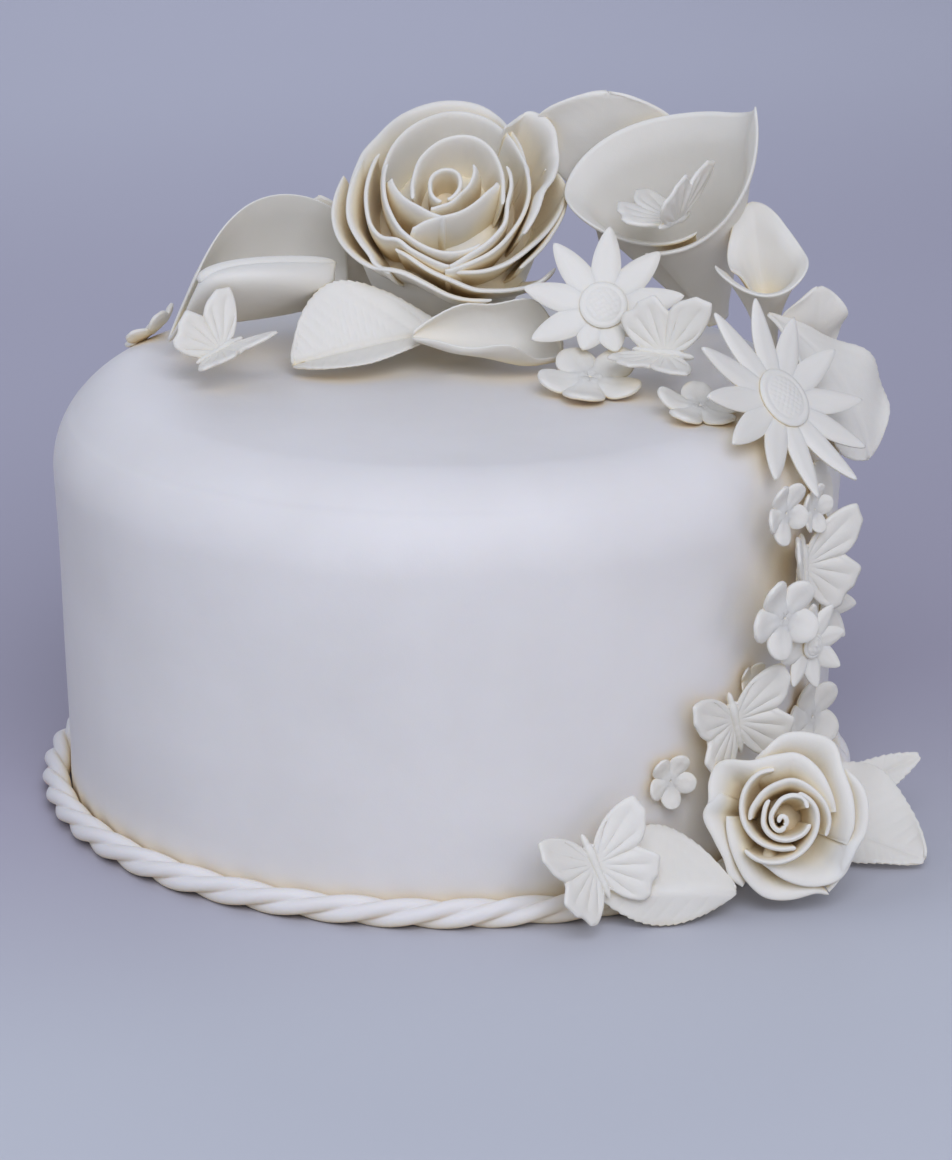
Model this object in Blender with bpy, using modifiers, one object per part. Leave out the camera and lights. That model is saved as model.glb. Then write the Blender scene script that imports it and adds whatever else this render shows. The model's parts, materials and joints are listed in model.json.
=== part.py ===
"""A round single-tier cake in white sugar paste, with a twisted rope border and a spray of sugar flowers.

The origin is the middle of the cake's underside, +Z is up and -Y is the front. Sizes and places are in
millimetres, and MM turns them into the scene's metres. A bearing is an angle round the cake in degrees,
0 at the front (-Y) and 90 on the right (+X). An elevation is how far a direction rises above the level.
"""

import math

import bmesh
import bpy
from mathutils import Matrix, Vector
from mathutils.bvhtree import BVHTree

MM = 0.001
GAP = 0.3  # kept between pieces that touch

# Cake: an eight-inch round under a coat of paste.
BASE_RADIUS = 101.0
SHOULDER_RADIUS = 103.6
CAKE_HEIGHT = 112.5
SHOULDER_ACROSS = 21.0
SHOULDER_DOWN = 23.0
SHOULDER_STEPS = 6
CAKE_SEGMENTS = 72

# Rope border: three strands rolled together and laid round the foot.
ROPE_DIAMETER = 7.5
ROPE_TURNS = 15
ROPE_STRANDS = 3
ROPE_CREASE = 1.3
ROPE_STEPS_PER_STRAND = 3
ROPE_POINTS_PER_STRAND = 3

# Rolled paste.
LEAF_THICKNESS = 1.2
LEAF_WAVES = 2
PETAL_THICKNESS = 1.1
SPATHE_THICKNESS = 1.3
CUTTER_THICKNESS = 1.6  # blossoms, daisies and butterflies

# Radius of a cut flower at the notch, on two points of the petal's flank and at its tip, over its reach.
DAISY_FLANK = (0.40, 0.68, 0.90, 1.0)
BLOSSOM_FLANK = (0.56, 0.90, 0.985, 1.0)
TUCKED_REACH = 0.62

# Butterfly's outline on one side, as (degrees from the head, distance over the span of one wing).
WING_OUTLINE = (
    (24, 0.28),
    (36, 0.60),
    (53, 1.0),
    (78, 0.82),
    (90, 0.62),
    (107, 0.85),
    (130, 0.80),
    (150, 0.80),
    (168, 0.42),
)
HEAD_REACH = 0.32
TAIL_REACH = 0.36

# How pieces are set down one after another. Most of them are laid on from the front, a little from above.
PRESS_STEP = 0.3
PRESS_MOST = 2.0
PRESS_BEARING = 175.0
PRESS_ELEVATION = -19.0
PRESS_START = 40.0
PRESS_PAST = 8.0

CAKE_NAME = "single_tier_cake"
PASTE = {"paste": (0.86, 0.85, 0.84, 1.0), "flower_paste": (0.90, 0.88, 0.83, 1.0)}
PASTE_ROUGHNESS = 0.55


# ---------------------------------------------------------------- scene, materials and frames


def clear_scene():
    for item in list(bpy.data.objects):
        bpy.data.objects.remove(item, do_unlink=True)


def material(name):
    found = bpy.data.materials.get(name)
    if found:
        return found
    made = bpy.data.materials.new(name)
    made.use_nodes = True
    shader = made.node_tree.nodes["Principled BSDF"]
    shader.inputs["Base Color"].default_value = PASTE[name]
    shader.inputs["Roughness"].default_value = PASTE_ROUGHNESS
    shader.inputs["Metallic"].default_value = 0.0
    return made


def new_object(name, mesh, slot, frame=None):
    made = bpy.data.objects.new(name, mesh)
    mesh.materials.append(material(slot))
    mesh.shade_smooth()
    if frame is not None:
        made.matrix_world = frame
    bpy.data.collections[CAKE_NAME].objects.link(made)
    return made


def heading(bearing, elevation=0.0):
    """The unit vector that points that way."""
    turn = math.radians(bearing)
    rise = math.radians(elevation)
    return Vector((math.sin(turn) * math.cos(rise), -math.cos(turn) * math.cos(rise), math.sin(rise)))


def axes_frame(origin, along, face):
    """A frame whose X runs along `along` and whose Z is as near to `face` as that allows."""
    x_axis = Vector(along).normalized()
    y_axis = Vector(face).cross(x_axis).normalized()
    z_axis = x_axis.cross(y_axis)
    turned = Matrix((x_axis, y_axis, z_axis)).transposed().to_4x4()
    return Matrix.Translation(Vector(origin) * MM) @ turned


def facing(origin, bearing, elevation, spin=0.0):
    """A frame that faces out with its Z, X to the right of who looks at it, then turned by `spin`."""
    level = heading(bearing + 90)
    frame = axes_frame(origin, level, heading(bearing, elevation))
    return frame @ Matrix.Rotation(math.radians(spin), 4, "Z")


def perched(origin, head, face):
    """A butterfly's frame: its Y runs towards the head and its Z is as near to `face` as that allows."""
    across = Vector(head).cross(Vector(face))
    return axes_frame(origin, across, face)


def cake_radius(height):
    """Radius of the cake's side at a height."""
    shoulder_foot = CAKE_HEIGHT - SHOULDER_DOWN
    if height <= shoulder_foot:
        return BASE_RADIUS + (SHOULDER_RADIUS - BASE_RADIUS) * height / shoulder_foot
    rise = min((height - shoulder_foot) / SHOULDER_DOWN, 1.0)
    return SHOULDER_RADIUS - SHOULDER_ACROSS * (1 - math.sqrt(1 - rise * rise))


def side_point(bearing, height, stand_off=0.0):
    return heading(bearing) * (cake_radius(height) + stand_off) + Vector((0, 0, height))


# ---------------------------------------------------------------- thin solids


def thicken(piece, thickness):
    shell = piece.modifiers.new("thickness", "SOLIDIFY")
    shell.thickness = thickness * MM
    shell.offset = 0.0


def sheet(name, surface, along, across, thickness, slot, frame=None):
    """A thin solid over surface(u, v), with u from 0 to 1 along it and v from -1 to 1 across it."""
    mesh = bpy.data.meshes.new(name)
    bm = bmesh.new()
    bmesh.ops.create_grid(bm, x_segments=along, y_segments=across, size=1.0)
    for vert in bm.verts:
        vert.co = Vector(surface((vert.co.x + 1) / 2, vert.co.y)) * MM
    bmesh.ops.triangulate(bm, faces=bm.faces[:])
    bm.to_mesh(mesh)
    bm.free()
    piece = new_object(name, mesh, slot, frame)
    thicken(piece, thickness)
    return piece


def zip_rings(bm, inner, outer):
    """Triangles between a ring of points and one that has a whole multiple of its points."""
    stride = len(outer) // len(inner)
    for index, near in enumerate(inner):
        following = inner[(index + 1) % len(inner)]
        for step in range(stride):
            here = outer[index * stride + step]
            after = outer[(index * stride + step + 1) % len(outer)]
            held = near if step < stride / 2 else following
            bm.faces.new((held, here, after))
            if step == (stride - 1) // 2:
                bm.faces.new((near, after, following))


def star(name, rings, thickness, slot, frame):
    """A thin solid of rings of (x, y, z) points round a middle; the first ring holds that one point."""
    mesh = bpy.data.meshes.new(name)
    bm = bmesh.new()
    loops = [[bm.verts.new(Vector(point) * MM) for point in ring] for ring in rings]
    for index, near in enumerate(loops[1]):
        bm.faces.new((loops[0][0], near, loops[1][(index + 1) % len(loops[1])]))
    for inner, outer in zip(loops[1:], loops[2:]):
        zip_rings(bm, inner, outer)
    bmesh.ops.recalc_face_normals(bm, faces=bm.faces[:])
    bm.to_mesh(mesh)
    bm.free()
    piece = new_object(name, mesh, slot, frame)
    thicken(piece, thickness)
    return piece


# ---------------------------------------------------------------- setting pieces down


def world_shape(piece):
    evaluated = piece.evaluated_get(bpy.context.evaluated_depsgraph_get())
    mesh = evaluated.to_mesh()
    points = [piece.matrix_world @ vert.co for vert in mesh.vertices]
    faces = [tuple(face.vertices) for face in mesh.polygons]
    evaluated.to_mesh_clear()
    return points, faces


class Arrangement:
    """The pieces set down so far. Each new one is pressed on until it all but touches them."""

    def __init__(self):
        self.trees = []

    def keep(self, piece):
        bpy.context.view_layer.update()
        self.trees.append(BVHTree.FromPolygons(*world_shape(piece)))
        return piece

    def touches(self, points, faces):
        tree = BVHTree.FromPolygons(points, faces)
        return any(tree.overlap(other) for other in self.trees)

    def press(self, piece, toward, lift=2.0, most=PRESS_MOST):
        """Lifts the piece off by `lift` and moves it along `toward` until it meets another piece.

        It stops `most` past its own place if it meets nothing, and is then kept.
        """
        bpy.context.view_layer.update()
        points, faces = world_shape(piece)
        toward = Vector(toward).normalized()
        travel = -lift
        while travel < most:
            ahead = toward * ((travel + PRESS_STEP) * MM)
            if self.touches([point + ahead for point in points], faces):
                break
            travel += PRESS_STEP
        piece.matrix_world = Matrix.Translation(toward * ((travel - GAP) * MM)) @ piece.matrix_world
        return self.keep(piece)


# ---------------------------------------------------------------- cake and rope


def cake_body():
    """The covered cake: its profile runs down from the middle of the top and is turned round the axis."""
    profile = [(0.0, CAKE_HEIGHT)]
    for step in range(SHOULDER_STEPS + 1):
        angle = math.pi / 2 * (1 - step / SHOULDER_STEPS)
        across = SHOULDER_RADIUS - SHOULDER_ACROSS * (1 - math.cos(angle))
        up = CAKE_HEIGHT - SHOULDER_DOWN * (1 - math.sin(angle))
        profile.append((across, up))
    profile += [(BASE_RADIUS, 0.0), (0.0, 0.0)]
    mesh = bpy.data.meshes.new("cake_body")
    points = [(across * MM, 0.0, up * MM) for across, up in profile]
    mesh.from_pydata(points, [(i, i + 1) for i in range(len(points) - 1)], [])
    body = new_object("cake_body", mesh, "paste")
    turned = body.modifiers.new("turned", "SCREW")
    turned.steps = CAKE_SEGMENTS
    turned.render_steps = CAKE_SEGMENTS
    turned.use_merge_vertices = True
    turned.merge_threshold = 0.00001
    return body


def rope_border():
    """Three strands twisted together, as a ring of sections that turn as they go round."""
    sections = ROPE_TURNS * ROPE_STRANDS * ROPE_STEPS_PER_STRAND
    corners = ROPE_STRANDS * ROPE_POINTS_PER_STRAND
    radius = ROPE_DIAMETER / 2
    ring_radius = BASE_RADIUS + GAP + radius
    mesh = bpy.data.meshes.new("rope_border")
    bm = bmesh.new()
    rings = []
    for section in range(sections):
        part_round = section / sections
        bearing = 360 * part_round
        twist = 2 * math.pi * ROPE_TURNS * part_round
        middle = heading(bearing) * ring_radius + Vector((0, 0, radius))
        ring = []
        for corner in range(corners):
            angle = 2 * math.pi * corner / corners
            crest = abs(math.sin(ROPE_STRANDS / 2 * angle))
            reach = radius - ROPE_CREASE * (1 - crest)
            out = heading(bearing) * math.cos(angle + twist) + Vector((0, 0, math.sin(angle + twist)))
            ring.append(bm.verts.new((middle + out * reach) * MM))
        rings.append(ring)
    for index, ring in enumerate(rings):
        following = rings[(index + 1) % sections]
        for corner in range(corners):
            after = (corner + 1) % corners
            bm.faces.new((ring[corner], ring[after], following[after], following[corner]))
    bmesh.ops.triangulate(bm, faces=bm.faces[:])
    bmesh.ops.recalc_face_normals(bm, faces=bm.faces[:])
    bm.to_mesh(mesh)
    bm.free()
    return new_object("rope_border", mesh, "paste")


# ---------------------------------------------------------------- leaves


def leaf(name, base, tip, face, halves, fold=(0, 0), arch=0.0, roll=0.0, wave=0.0, blunt=0.75,
         along=7, across=6):
    """A leaf from its stalk at `base` to its tip.

    face is the bearing and elevation that its upper side looks to, halves the widths of its right and
    left side as seen from the tip with that side up, fold how many degrees each is raised from the
    midrib, arch how far the midrib bows out, roll how far the edges curl up, wave how high they
    ripple, and blunt how near the tip the leaf is widest.
    """
    base = Vector(base)
    run = Vector(tip) - base
    length = run.length

    def surface(u, v):
        side = 0 if v < 0 else 1
        full = math.sin(math.pi * u**blunt) ** 0.7 if 0 < u < 1 else 0.0
        half = halves[side] * full + 0.7
        raised = math.radians(fold[side]) + roll / halves[side] * abs(v)
        out = abs(v) * half
        across_it = math.copysign(out * math.cos(raised), v)
        up = out * math.sin(raised) + arch * 4 * u * (1 - u)
        up += wave * math.sin(2 * math.pi * LEAF_WAVES * u + 2 * v) * v * v * full
        return (u * length, across_it, up)

    frame = axes_frame(base, run, heading(*face))
    return sheet(name, surface, along, across, LEAF_THICKNESS, "flower_paste", frame)


# ---------------------------------------------------------------- roses


def bezier(points, t):
    """A point on a cubic curve through (across, up) pairs."""
    weights = ((1 - t) ** 3, 3 * t * (1 - t) ** 2, 3 * t * t * (1 - t), t**3)
    return tuple(sum(w * p[axis] for w, p in zip(weights, points)) for axis in (0, 1))


def rose_petal(name, profile, bearing, spread, lean, ruffle, flat, frame, along=3, across=5):
    """One petal: its profile leans out from the axis, and it wraps `spread` degrees to each side.

    flat is the bearing where the whole rose is pressed flatter, and by what part.
    """

    def surface(u, v):
        reach = u * (1 - 0.16 * abs(v) ** 2.5)
        out, up = bezier(profile, reach)
        out += lean * v
        up += ruffle * math.sin(5 * v + bearing) * reach**3
        angle = math.radians(bearing + spread * v * (1 - 0.12 * u))
        out *= 1 - flat[1] * max(0.0, math.cos(angle - math.radians(flat[0]))) ** 2
        return (out * math.cos(angle), out * math.sin(angle), up)

    return sheet(name, surface, along, across, PETAL_THICKNESS, "flower_paste", frame)


def rose_core(name, foot, waist, top, frame, segments=12):
    """The solid cone of paste that the petals are stuck on: (radius, height) at foot, waist and top."""
    mesh = bpy.data.meshes.new(name)
    bm = bmesh.new()
    lower, upper = foot, waist
    bmesh.ops.create_cone(
        bm, cap_ends=True, cap_tris=True, segments=segments,
        radius1=lower[0] * MM, radius2=upper[0] * MM, depth=(upper[1] - lower[1]) * MM,
        matrix=Matrix.Translation((0, 0, (lower[1] + upper[1]) / 2 * MM)),
    )
    cap = [face for face in bm.faces if face.normal.z > 0.9]
    raised = bmesh.ops.extrude_face_region(bm, geom=cap)["geom"]
    moved = [item for item in raised if isinstance(item, bmesh.types.BMVert)]
    bmesh.ops.delete(bm, geom=cap, context="FACES")
    for vert in moved:
        shrink = top[0] / upper[0]
        vert.co = Vector((vert.co.x * shrink, vert.co.y * shrink, top[1] * MM))
    bmesh.ops.triangulate(bm, faces=bm.faces[:])
    bmesh.ops.recalc_face_normals(bm, faces=bm.faces[:])
    bm.to_mesh(mesh)
    bm.free()
    return new_object(name, mesh, "flower_paste", frame)


def fuse(piece, others):
    """Joins solids into `piece` with one Boolean union and keeps the outer shell of the result."""
    joined = bpy.data.collections.new("joined")
    bpy.context.scene.collection.children.link(joined)
    for other in others:
        joined.objects.link(other)
    union = piece.modifiers.new("union", "BOOLEAN")
    union.operation = "UNION"
    union.operand_type = "COLLECTION"
    union.solver = "MANIFOLD"
    union.collection = joined
    bpy.context.view_layer.update()
    evaluated = piece.evaluated_get(bpy.context.evaluated_depsgraph_get())
    mesh = bpy.data.meshes.new_from_object(evaluated)
    piece.modifiers.clear()
    piece.data = mesh
    for other in others:
        bpy.data.objects.remove(other, do_unlink=True)
    bpy.data.collections.remove(joined)
    keep_outer_shell(mesh)
    return piece


def keep_outer_shell(mesh):
    """Drops loose scraps and sealed hollows, which are the smaller of the mesh's separate shells."""
    bm = bmesh.new()
    bm.from_mesh(mesh)
    left = set(bm.verts)
    shells = []
    while left:
        shell = set()
        waiting = [left.pop()]
        while waiting:
            vert = waiting.pop()
            shell.add(vert)
            near = {edge.other_vert(vert) for edge in vert.link_edges} & left
            left -= near
            waiting += near
        shells.append(shell)
    shells.sort(key=len)
    for shell in shells[:-1]:
        bmesh.ops.delete(bm, geom=list(shell), context="VERTS")
    bm.to_mesh(mesh)
    bm.free()


def rose(name, frame, whorls, core, flat):
    """A rose of whorls, each (petals, first bearing, spread, lean, ruffle, profile)."""
    heart = rose_core(name, *core, frame)
    petals = []
    for number, (count, first, spread, lean, ruffle, profile) in enumerate(whorls):
        for index in range(count):
            bearing = first + 360 * index / count
            label = f"{name}_petal_{number}_{index}"
            petals.append(rose_petal(label, profile, bearing, spread, lean, ruffle, flat, frame))
    return fuse(heart, petals)


# Each whorl from the bud out: petals, bearing of the first, spread, lean, ruffle, and the profile
# as four (distance from the axis, height) pairs from the root to the rim.
TOP_ROSE_WHORLS = (
    (2, 20, 120, 1.6, 0.0, ((4, 28), (8, 34), (7, 44), (3.5, 52))),
    (3, 80, 85, 2.2, 0.4, ((5, 24), (13, 30), (12, 44), (10, 52.5))),
    (3, 20, 76, 2.4, 0.6, ((5, 20), (18, 26), (17, 41), (18, 50.5))),
    (4, 50, 60, 2.4, 0.8, ((5, 16), (21, 24), (21, 40), (25.5, 47))),
    (5, 15, 50, 2.2, 1.0, ((5, 13), (24, 21), (26, 37), (33, 42))),
)
TOP_ROSE_FLAT = (231, 0.15)
TOP_ROSE_CORE = ((2.5, -7.0), (9.0, 28.0), (3.0, 48.0))

BOTTOM_ROSE_WHORLS = (
    (2, 70, 130, 1.5, 0.0, ((2.5, 10), (5, 14), (5, 22), (3.5, 27))),
    (2, 200, 100, 2.2, 0.2, ((3, 8), (10, 10), (10, 22), (8.5, 28))),
    (5, 40, 56, 2.4, 0.5, ((3, 5), (15, 7), (15, 21), (22, 23.5))),
)
BOTTOM_ROSE_FLAT = (0, 0.0)
BOTTOM_ROSE_CORE = ((3.0, 0.0), (5.0, 10.0), (1.5, 24.0))


# ---------------------------------------------------------------- calla lilies


def calla(name, tip_point, mouth, point_way, semi, rims, wrap, lean, flare=2.2, point=1.2,
          along=5, across=11):
    """A spathe rolled into a funnel, from its closed end to the middle of its mouth.

    point_way is the direction that its pointed lip lies in, semi the half widths of the mouth along and
    across that direction, rims the heights over the mouth's middle of the rim at the point, at the back,
    opposite the point and at the front, where its two margins overlap.
    """
    start = Vector(tip_point)
    run = Vector(mouth) - start
    length = run.length
    axis = run.normalized()
    pointed = Vector(point_way)
    pointed = (pointed - axis * pointed.dot(axis)).normalized()
    frame = axes_frame(start, pointed, axis)
    at_point, at_back, at_far, at_front = rims

    def surface(u, v):
        angle = math.radians(90 + wrap * v)
        reach = math.cos(angle), math.sin(angle)
        rise = (at_point if reach[0] > 0 else at_far) * reach[0] ** 2
        rise += (at_back if reach[1] > 0 else at_front) * reach[1] ** 2
        sharp = max(0.0, 1 - abs(math.degrees(math.atan2(reach[1], reach[0]))) / 40)
        open_out = 0.12 + 0.88 * u**flare
        out = open_out * (1 + (point - 1) * sharp * u) + 0.03
        shift = lean * v * (0.4 + 0.6 * u)
        return (
            (semi[0] * out + shift) * reach[0],
            (semi[1] * out + shift) * reach[1],
            u * length + rise * u**3,
        )

    return sheet(name, surface, along, across, SPATHE_THICKNESS, "flower_paste", frame)


def through(values, t):
    """The cubic curve that passes through four points at 0, 1/3, 2/3 and 1."""
    places = (0.0, 1 / 3, 2 / 3, 1.0)
    total = Vector((0.0, 0.0, 0.0))
    for index, value in enumerate(values):
        weight = 1.0
        for other, place in enumerate(places):
            if other != index:
                weight *= (t - place) / (places[index] - place)
        total += Vector(value) * weight
    return total


def draped(name, net, along=5, across=9):
    """A free-form petal through a net of four rows of four points."""

    def surface(u, v):
        return through([through(row, (v + 1) / 2) for row in net], u)

    return sheet(name, surface, along, across, SPATHE_THICKNESS, "flower_paste")


# The left lily lies on its side. Each row runs from its rolled near margin under the throat to its far
# edge, and the rows go from beside the rose to the pointed end.
LEFT_LILY = (
    ((-29, 17, 137.5), (-29, 16, 129.5), (-27, 36, 126), (-29, 37, 146)),
    ((-45, 8.5, 139.5), (-44.5, 7, 130), (-46, 33, 121), (-43, 35, 152)),
    ((-57.5, 4, 138.8), (-59, 4, 130), (-63, 27, 119), (-56, 30, 147)),
    ((-64.2, 2, 135.7), (-69, 5, 126), (-73.5, 12, 117.5), (-66, 19, 134)),
)


# ---------------------------------------------------------------- cut flowers and butterflies


def cut_flower(name, frame, petals, reach, flank, hub, dome, cup, tucked=()):
    """A flower from a cutter: a middle of radius hub raised by dome, and petals that lift by cup.

    tucked are the numbers of the petals that are bent in among other pieces and so reach less far.
    """
    notch, low, high, tip = (reach * part for part in flank)
    rim = []
    inner = []
    stations = ((0.0, notch), (0.17, low), (0.33, high), (0.5, tip), (0.67, high), (0.83, low))
    for petal in range(petals):
        for part, radius in stations:
            angle = 2 * math.pi * (petal + part) / petals
            if petal in tucked:
                radius = min(radius, reach * TUCKED_REACH)
            up = cup * (radius / reach) ** 2
            rim.append((radius * math.cos(angle), radius * math.sin(angle), up))
        for part in (0.0, 0.5):
            angle = 2 * math.pi * (petal + part) / petals
            inner.append((hub * math.cos(angle), hub * math.sin(angle), dome * 0.45))
    return star(name, ([(0.0, 0.0, dome)], inner, rim), CUTTER_THICKNESS, "flower_paste", frame)


def daisy(name, frame, petals, reach, hub, cup=1.5, tucked=()):
    return cut_flower(name, frame, petals, reach, DAISY_FLANK, hub, 2.4, cup, tucked)


def blossom(name, frame, reach, cup=2.0):
    return cut_flower(name, frame, 5, reach, BLOSSOM_FLANK, reach * 0.3, -0.4, cup)


def butterfly(name, frame, span, lifts):
    """A butterfly with its head towards local +Y; lifts are the angles of its right and left wing."""
    sides = [(angle, radius, 1) for angle, radius in WING_OUTLINE]
    around = [(0, HEAD_REACH, 0)] + sides + [(180, TAIL_REACH, 0)]
    around += [(angle, radius, -1) for angle, radius in reversed(WING_OUTLINE)]
    rim = []
    for angle, radius, side in around:
        out = radius * span * math.sin(math.radians(angle))
        ahead = radius * span * math.cos(math.radians(angle))
        lift = math.radians(lifts[0] if side > 0 else lifts[1])
        rim.append((side * out * math.cos(lift), ahead, abs(side) * out * math.sin(lift)))
    inner = [tuple(part * 0.4 for part in point) for point in rim[::2]]
    return star(name, ([(0.0, 0.0, 0.6)], inner, rim), CUTTER_THICKNESS, "flower_paste", frame)


# ---------------------------------------------------------------- the arrangement


def lay_on(placed, piece):
    """Presses a piece on from the front."""
    return placed.press(piece, heading(PRESS_BEARING, PRESS_ELEVATION), PRESS_START, PRESS_PAST)


def dress_side(placed):
    """What trails down the right side, from the wall out."""
    placed.press(
        leaf("leaf_side_curl", (99, -50, 101), (104, -44, 82), (75, 10), (7, 7), roll=2, along=5, across=4),
        heading(66) * -1, 6, 9)
    lay_on(placed, blossom("blossom_side_tiny", facing(side_point(46.5, 53, 3), 40, 0, 30), 5))
    lay_on(placed, blossom("blossom_side_back", facing(side_point(64, 33.5, 2), 52, 0, 0), 11))
    lay_on(placed, butterfly("butterfly_side_low", facing(side_point(42.5, 44.5, 4), 22, 0, 13), 19, (6, 28)))
    lay_on(placed, daisy("daisy_side", facing(side_point(66, 63, 3), 48, 0, 12), 8, 12, 3.5))
    frame = facing(side_point(57.5, 78, 3), 30, 0, 6)
    lay_on(placed, butterfly("butterfly_side_high", frame, 21, (0, 50)))
    lay_on(placed, daisy("blossom_side_pointed", facing(side_point(61, 55, 3), 40, 0, 30), 8, 11.5, 3.2))
    for name, bearing, height, turn, reach, spin in (
        ("blossom_side_twin", 60, 91.5, 52, 6.6, 40),
        ("blossom_side_high", 52.5, 94, 46, 7.9, 10),
        ("blossom_side_large", 53, 66.5, 42, 11, 8),
        ("blossom_side_low", 32, 32.5, 28, 7, 20),
    ):
        frame = facing(side_point(bearing, height, 3), turn, 0, spin)
        lay_on(placed, blossom(name, frame, reach))


def dress_foot(placed):
    """The rose at the foot with its leaves, which lie over the rope."""
    placed.press(
        leaf("leaf_foot_left", (72, -99, 7), (38.5, -106, 9), (20, 28), (19, 8.5), fold=(-26, -26), arch=3,
             blunt=1.15, along=6, across=5),
        heading(25) * -1, 6, 5)
    frame = facing((81, -71.5, 14.9), 12, 22)
    placed.keep(rose("rose_foot", frame, BOTTOM_ROSE_WHORLS, BOTTOM_ROSE_CORE, BOTTOM_ROSE_FLAT))
    placed.press(
        leaf("leaf_foot_small", (98, -46, 9), (125, -38, 20), (20, 40), (5, 5), fold=(8, 8), along=5,
             across=4),
        (-0.8, 0.5, -0.3), 4, 6)
    placed.press(
        leaf("leaf_foot_right", (93, -59, 12), (128, -73, 3), (20, 40), (8, 19), fold=(4, 4), wave=1.0),
        heading(55) * -1, 4, 8)
    lay_on(placed, butterfly("butterfly_foot", facing(side_point(20, 15.8, 7), 15, 20, 19), 19.5, (8, 30)))


def dress_top(placed):
    """The sprays on top, from the back to the front."""
    frame = facing((0, 49, 120.5), 0, 48)
    placed.keep(rose("rose_top", frame, TOP_ROSE_WHORLS, TOP_ROSE_CORE, TOP_ROSE_FLAT))
    placed.keep(
        calla("calla_right", (71, 37, 117.3), (58.2, 20, 154.5), (0.93, -0.2, 0.26), (26.3, 14.8),
              (17, 17, 9, -1), 195, -2.2, flare=1.6, point=1.08, across=13))
    placed.keep(draped("calla_left", LEFT_LILY))
    placed.keep(
        calla("calla_small", (85, 12, 115), (82.8, 4, 139.5), (-0.15, 0.8, 0.5), (11, -10), (11, 2, -1, 2), 188,
              -1.9))
    placed.press(
        leaf("leaf_back", (44, 46, 137), (45, 42, 181), (-5, 25), (19, 19), arch=-3, blunt=2.3, wave=1.2),
        (-0.3, -1, -0.2), 2, 12)
    placed.press(
        leaf("leaf_behind", (-10, 60, 116), (-36, 46, 151), (-30, 30), (9, 9), arch=2, along=5, across=4),
        (0.2, -0.5, -0.8), 2, 8)
    placed.press(
        leaf("leaf_front_left", (0, 7, 122), (-40, -5, 115.5), (-6, 30), (19, 10), fold=(2, 52), blunt=1.35),
        (0, 1, 0), 10, 9)
    placed.press(
        leaf("leaf_front_curled", (30, 0, 117), (-9, -8, 124), (0, 45), (13, 12), roll=12, wave=2.5),
        (0, 0.8, -0.2), 8, 4)


def dress_edge(placed):
    """Daisies, blossoms, leaves and butterflies along the front and right edge of the top."""
    placed.press(
        leaf("petal_shoulder", (97, 7, 112), (100.5, -1, 137), (25, 30), (8.5, 9.5), arch=2, wave=1.2, along=5,
             blunt=1.4),
        (-0.8, 0.4, -0.4), 10, 8)
    placed.press(
        leaf("leaf_shoulder", (90, -6, 133), (116, -17, 97), (58, 25), (19, 20), arch=6, wave=1.5, blunt=1.7),
        heading(72, 30) * -1, 8, 12)
    placed.press(daisy("daisy_right", facing((83, -44, 116.5), 50, 38), 12, 27.5, 8), heading(50, 38) * -1, 6)
    placed.press(blossom("blossom_front", facing((37, -19, 114.5), 8, 74), 14), (0, 0, -1), 6)
    daisy_frame = facing((40.5, -4, 130.7), 3, 32, -15)
    placed.press(daisy("daisy_left", daisy_frame, 9, 21, 6.2, tucked=(6, 7, 8)), (0, 0.85, -0.53), 10, 6)
    placed.press(blossom("blossom_edge", facing((64, -42, 114), 40, 76, 20), 11), (0, 0, -1), 4)
    placed.press(blossom("blossom_left", facing((-80, 37, 112), -112, 49, 20), 9), (0, 0, -1), 8, 4)
    frame = perched((-57, 1, 117), (0.78, 0.58, 0.25), (-0.3, -0.1, 0.95))
    lay_on(placed, butterfly("butterfly_left", frame, 17, (5, 70)))
    placed.press(
        butterfly("butterfly_right", perched((56, -18, 114), (0.9, -0.38, 0), (0, -0.1, 1)), 19, (2, 76)),
        (0, 0, -1), 8, 6)
    placed.press(
        butterfly("butterfly_calla", perched((59, 4, 153), (0.5, 0.85, 0), (0.1, -0.1, 1)), 19, (72, 4)),
        (0, 0, -1), 6, 8)


def main():
    clear_scene()
    parts = bpy.data.collections.new(CAKE_NAME)
    bpy.context.scene.collection.children.link(parts)
    placed = Arrangement()
    placed.keep(cake_body())
    placed.keep(rope_border())
    dress_side(placed)
    dress_foot(placed)
    dress_top(placed)
    dress_edge(placed)


main()
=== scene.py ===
"""Looks of the single-tier cake: sugar-paste cake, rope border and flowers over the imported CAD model.

The row frame has its origin in the middle of the cake's underside, +Z up and -Y to the front. Shapes are
worked out in millimetres and MM turns them into metres. Bearings run in degrees round the cake, 0 at the
front and 90 on the right.
"""

import json
import math

import bpy
import numpy as np
from mathutils import Matrix, Vector

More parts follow.
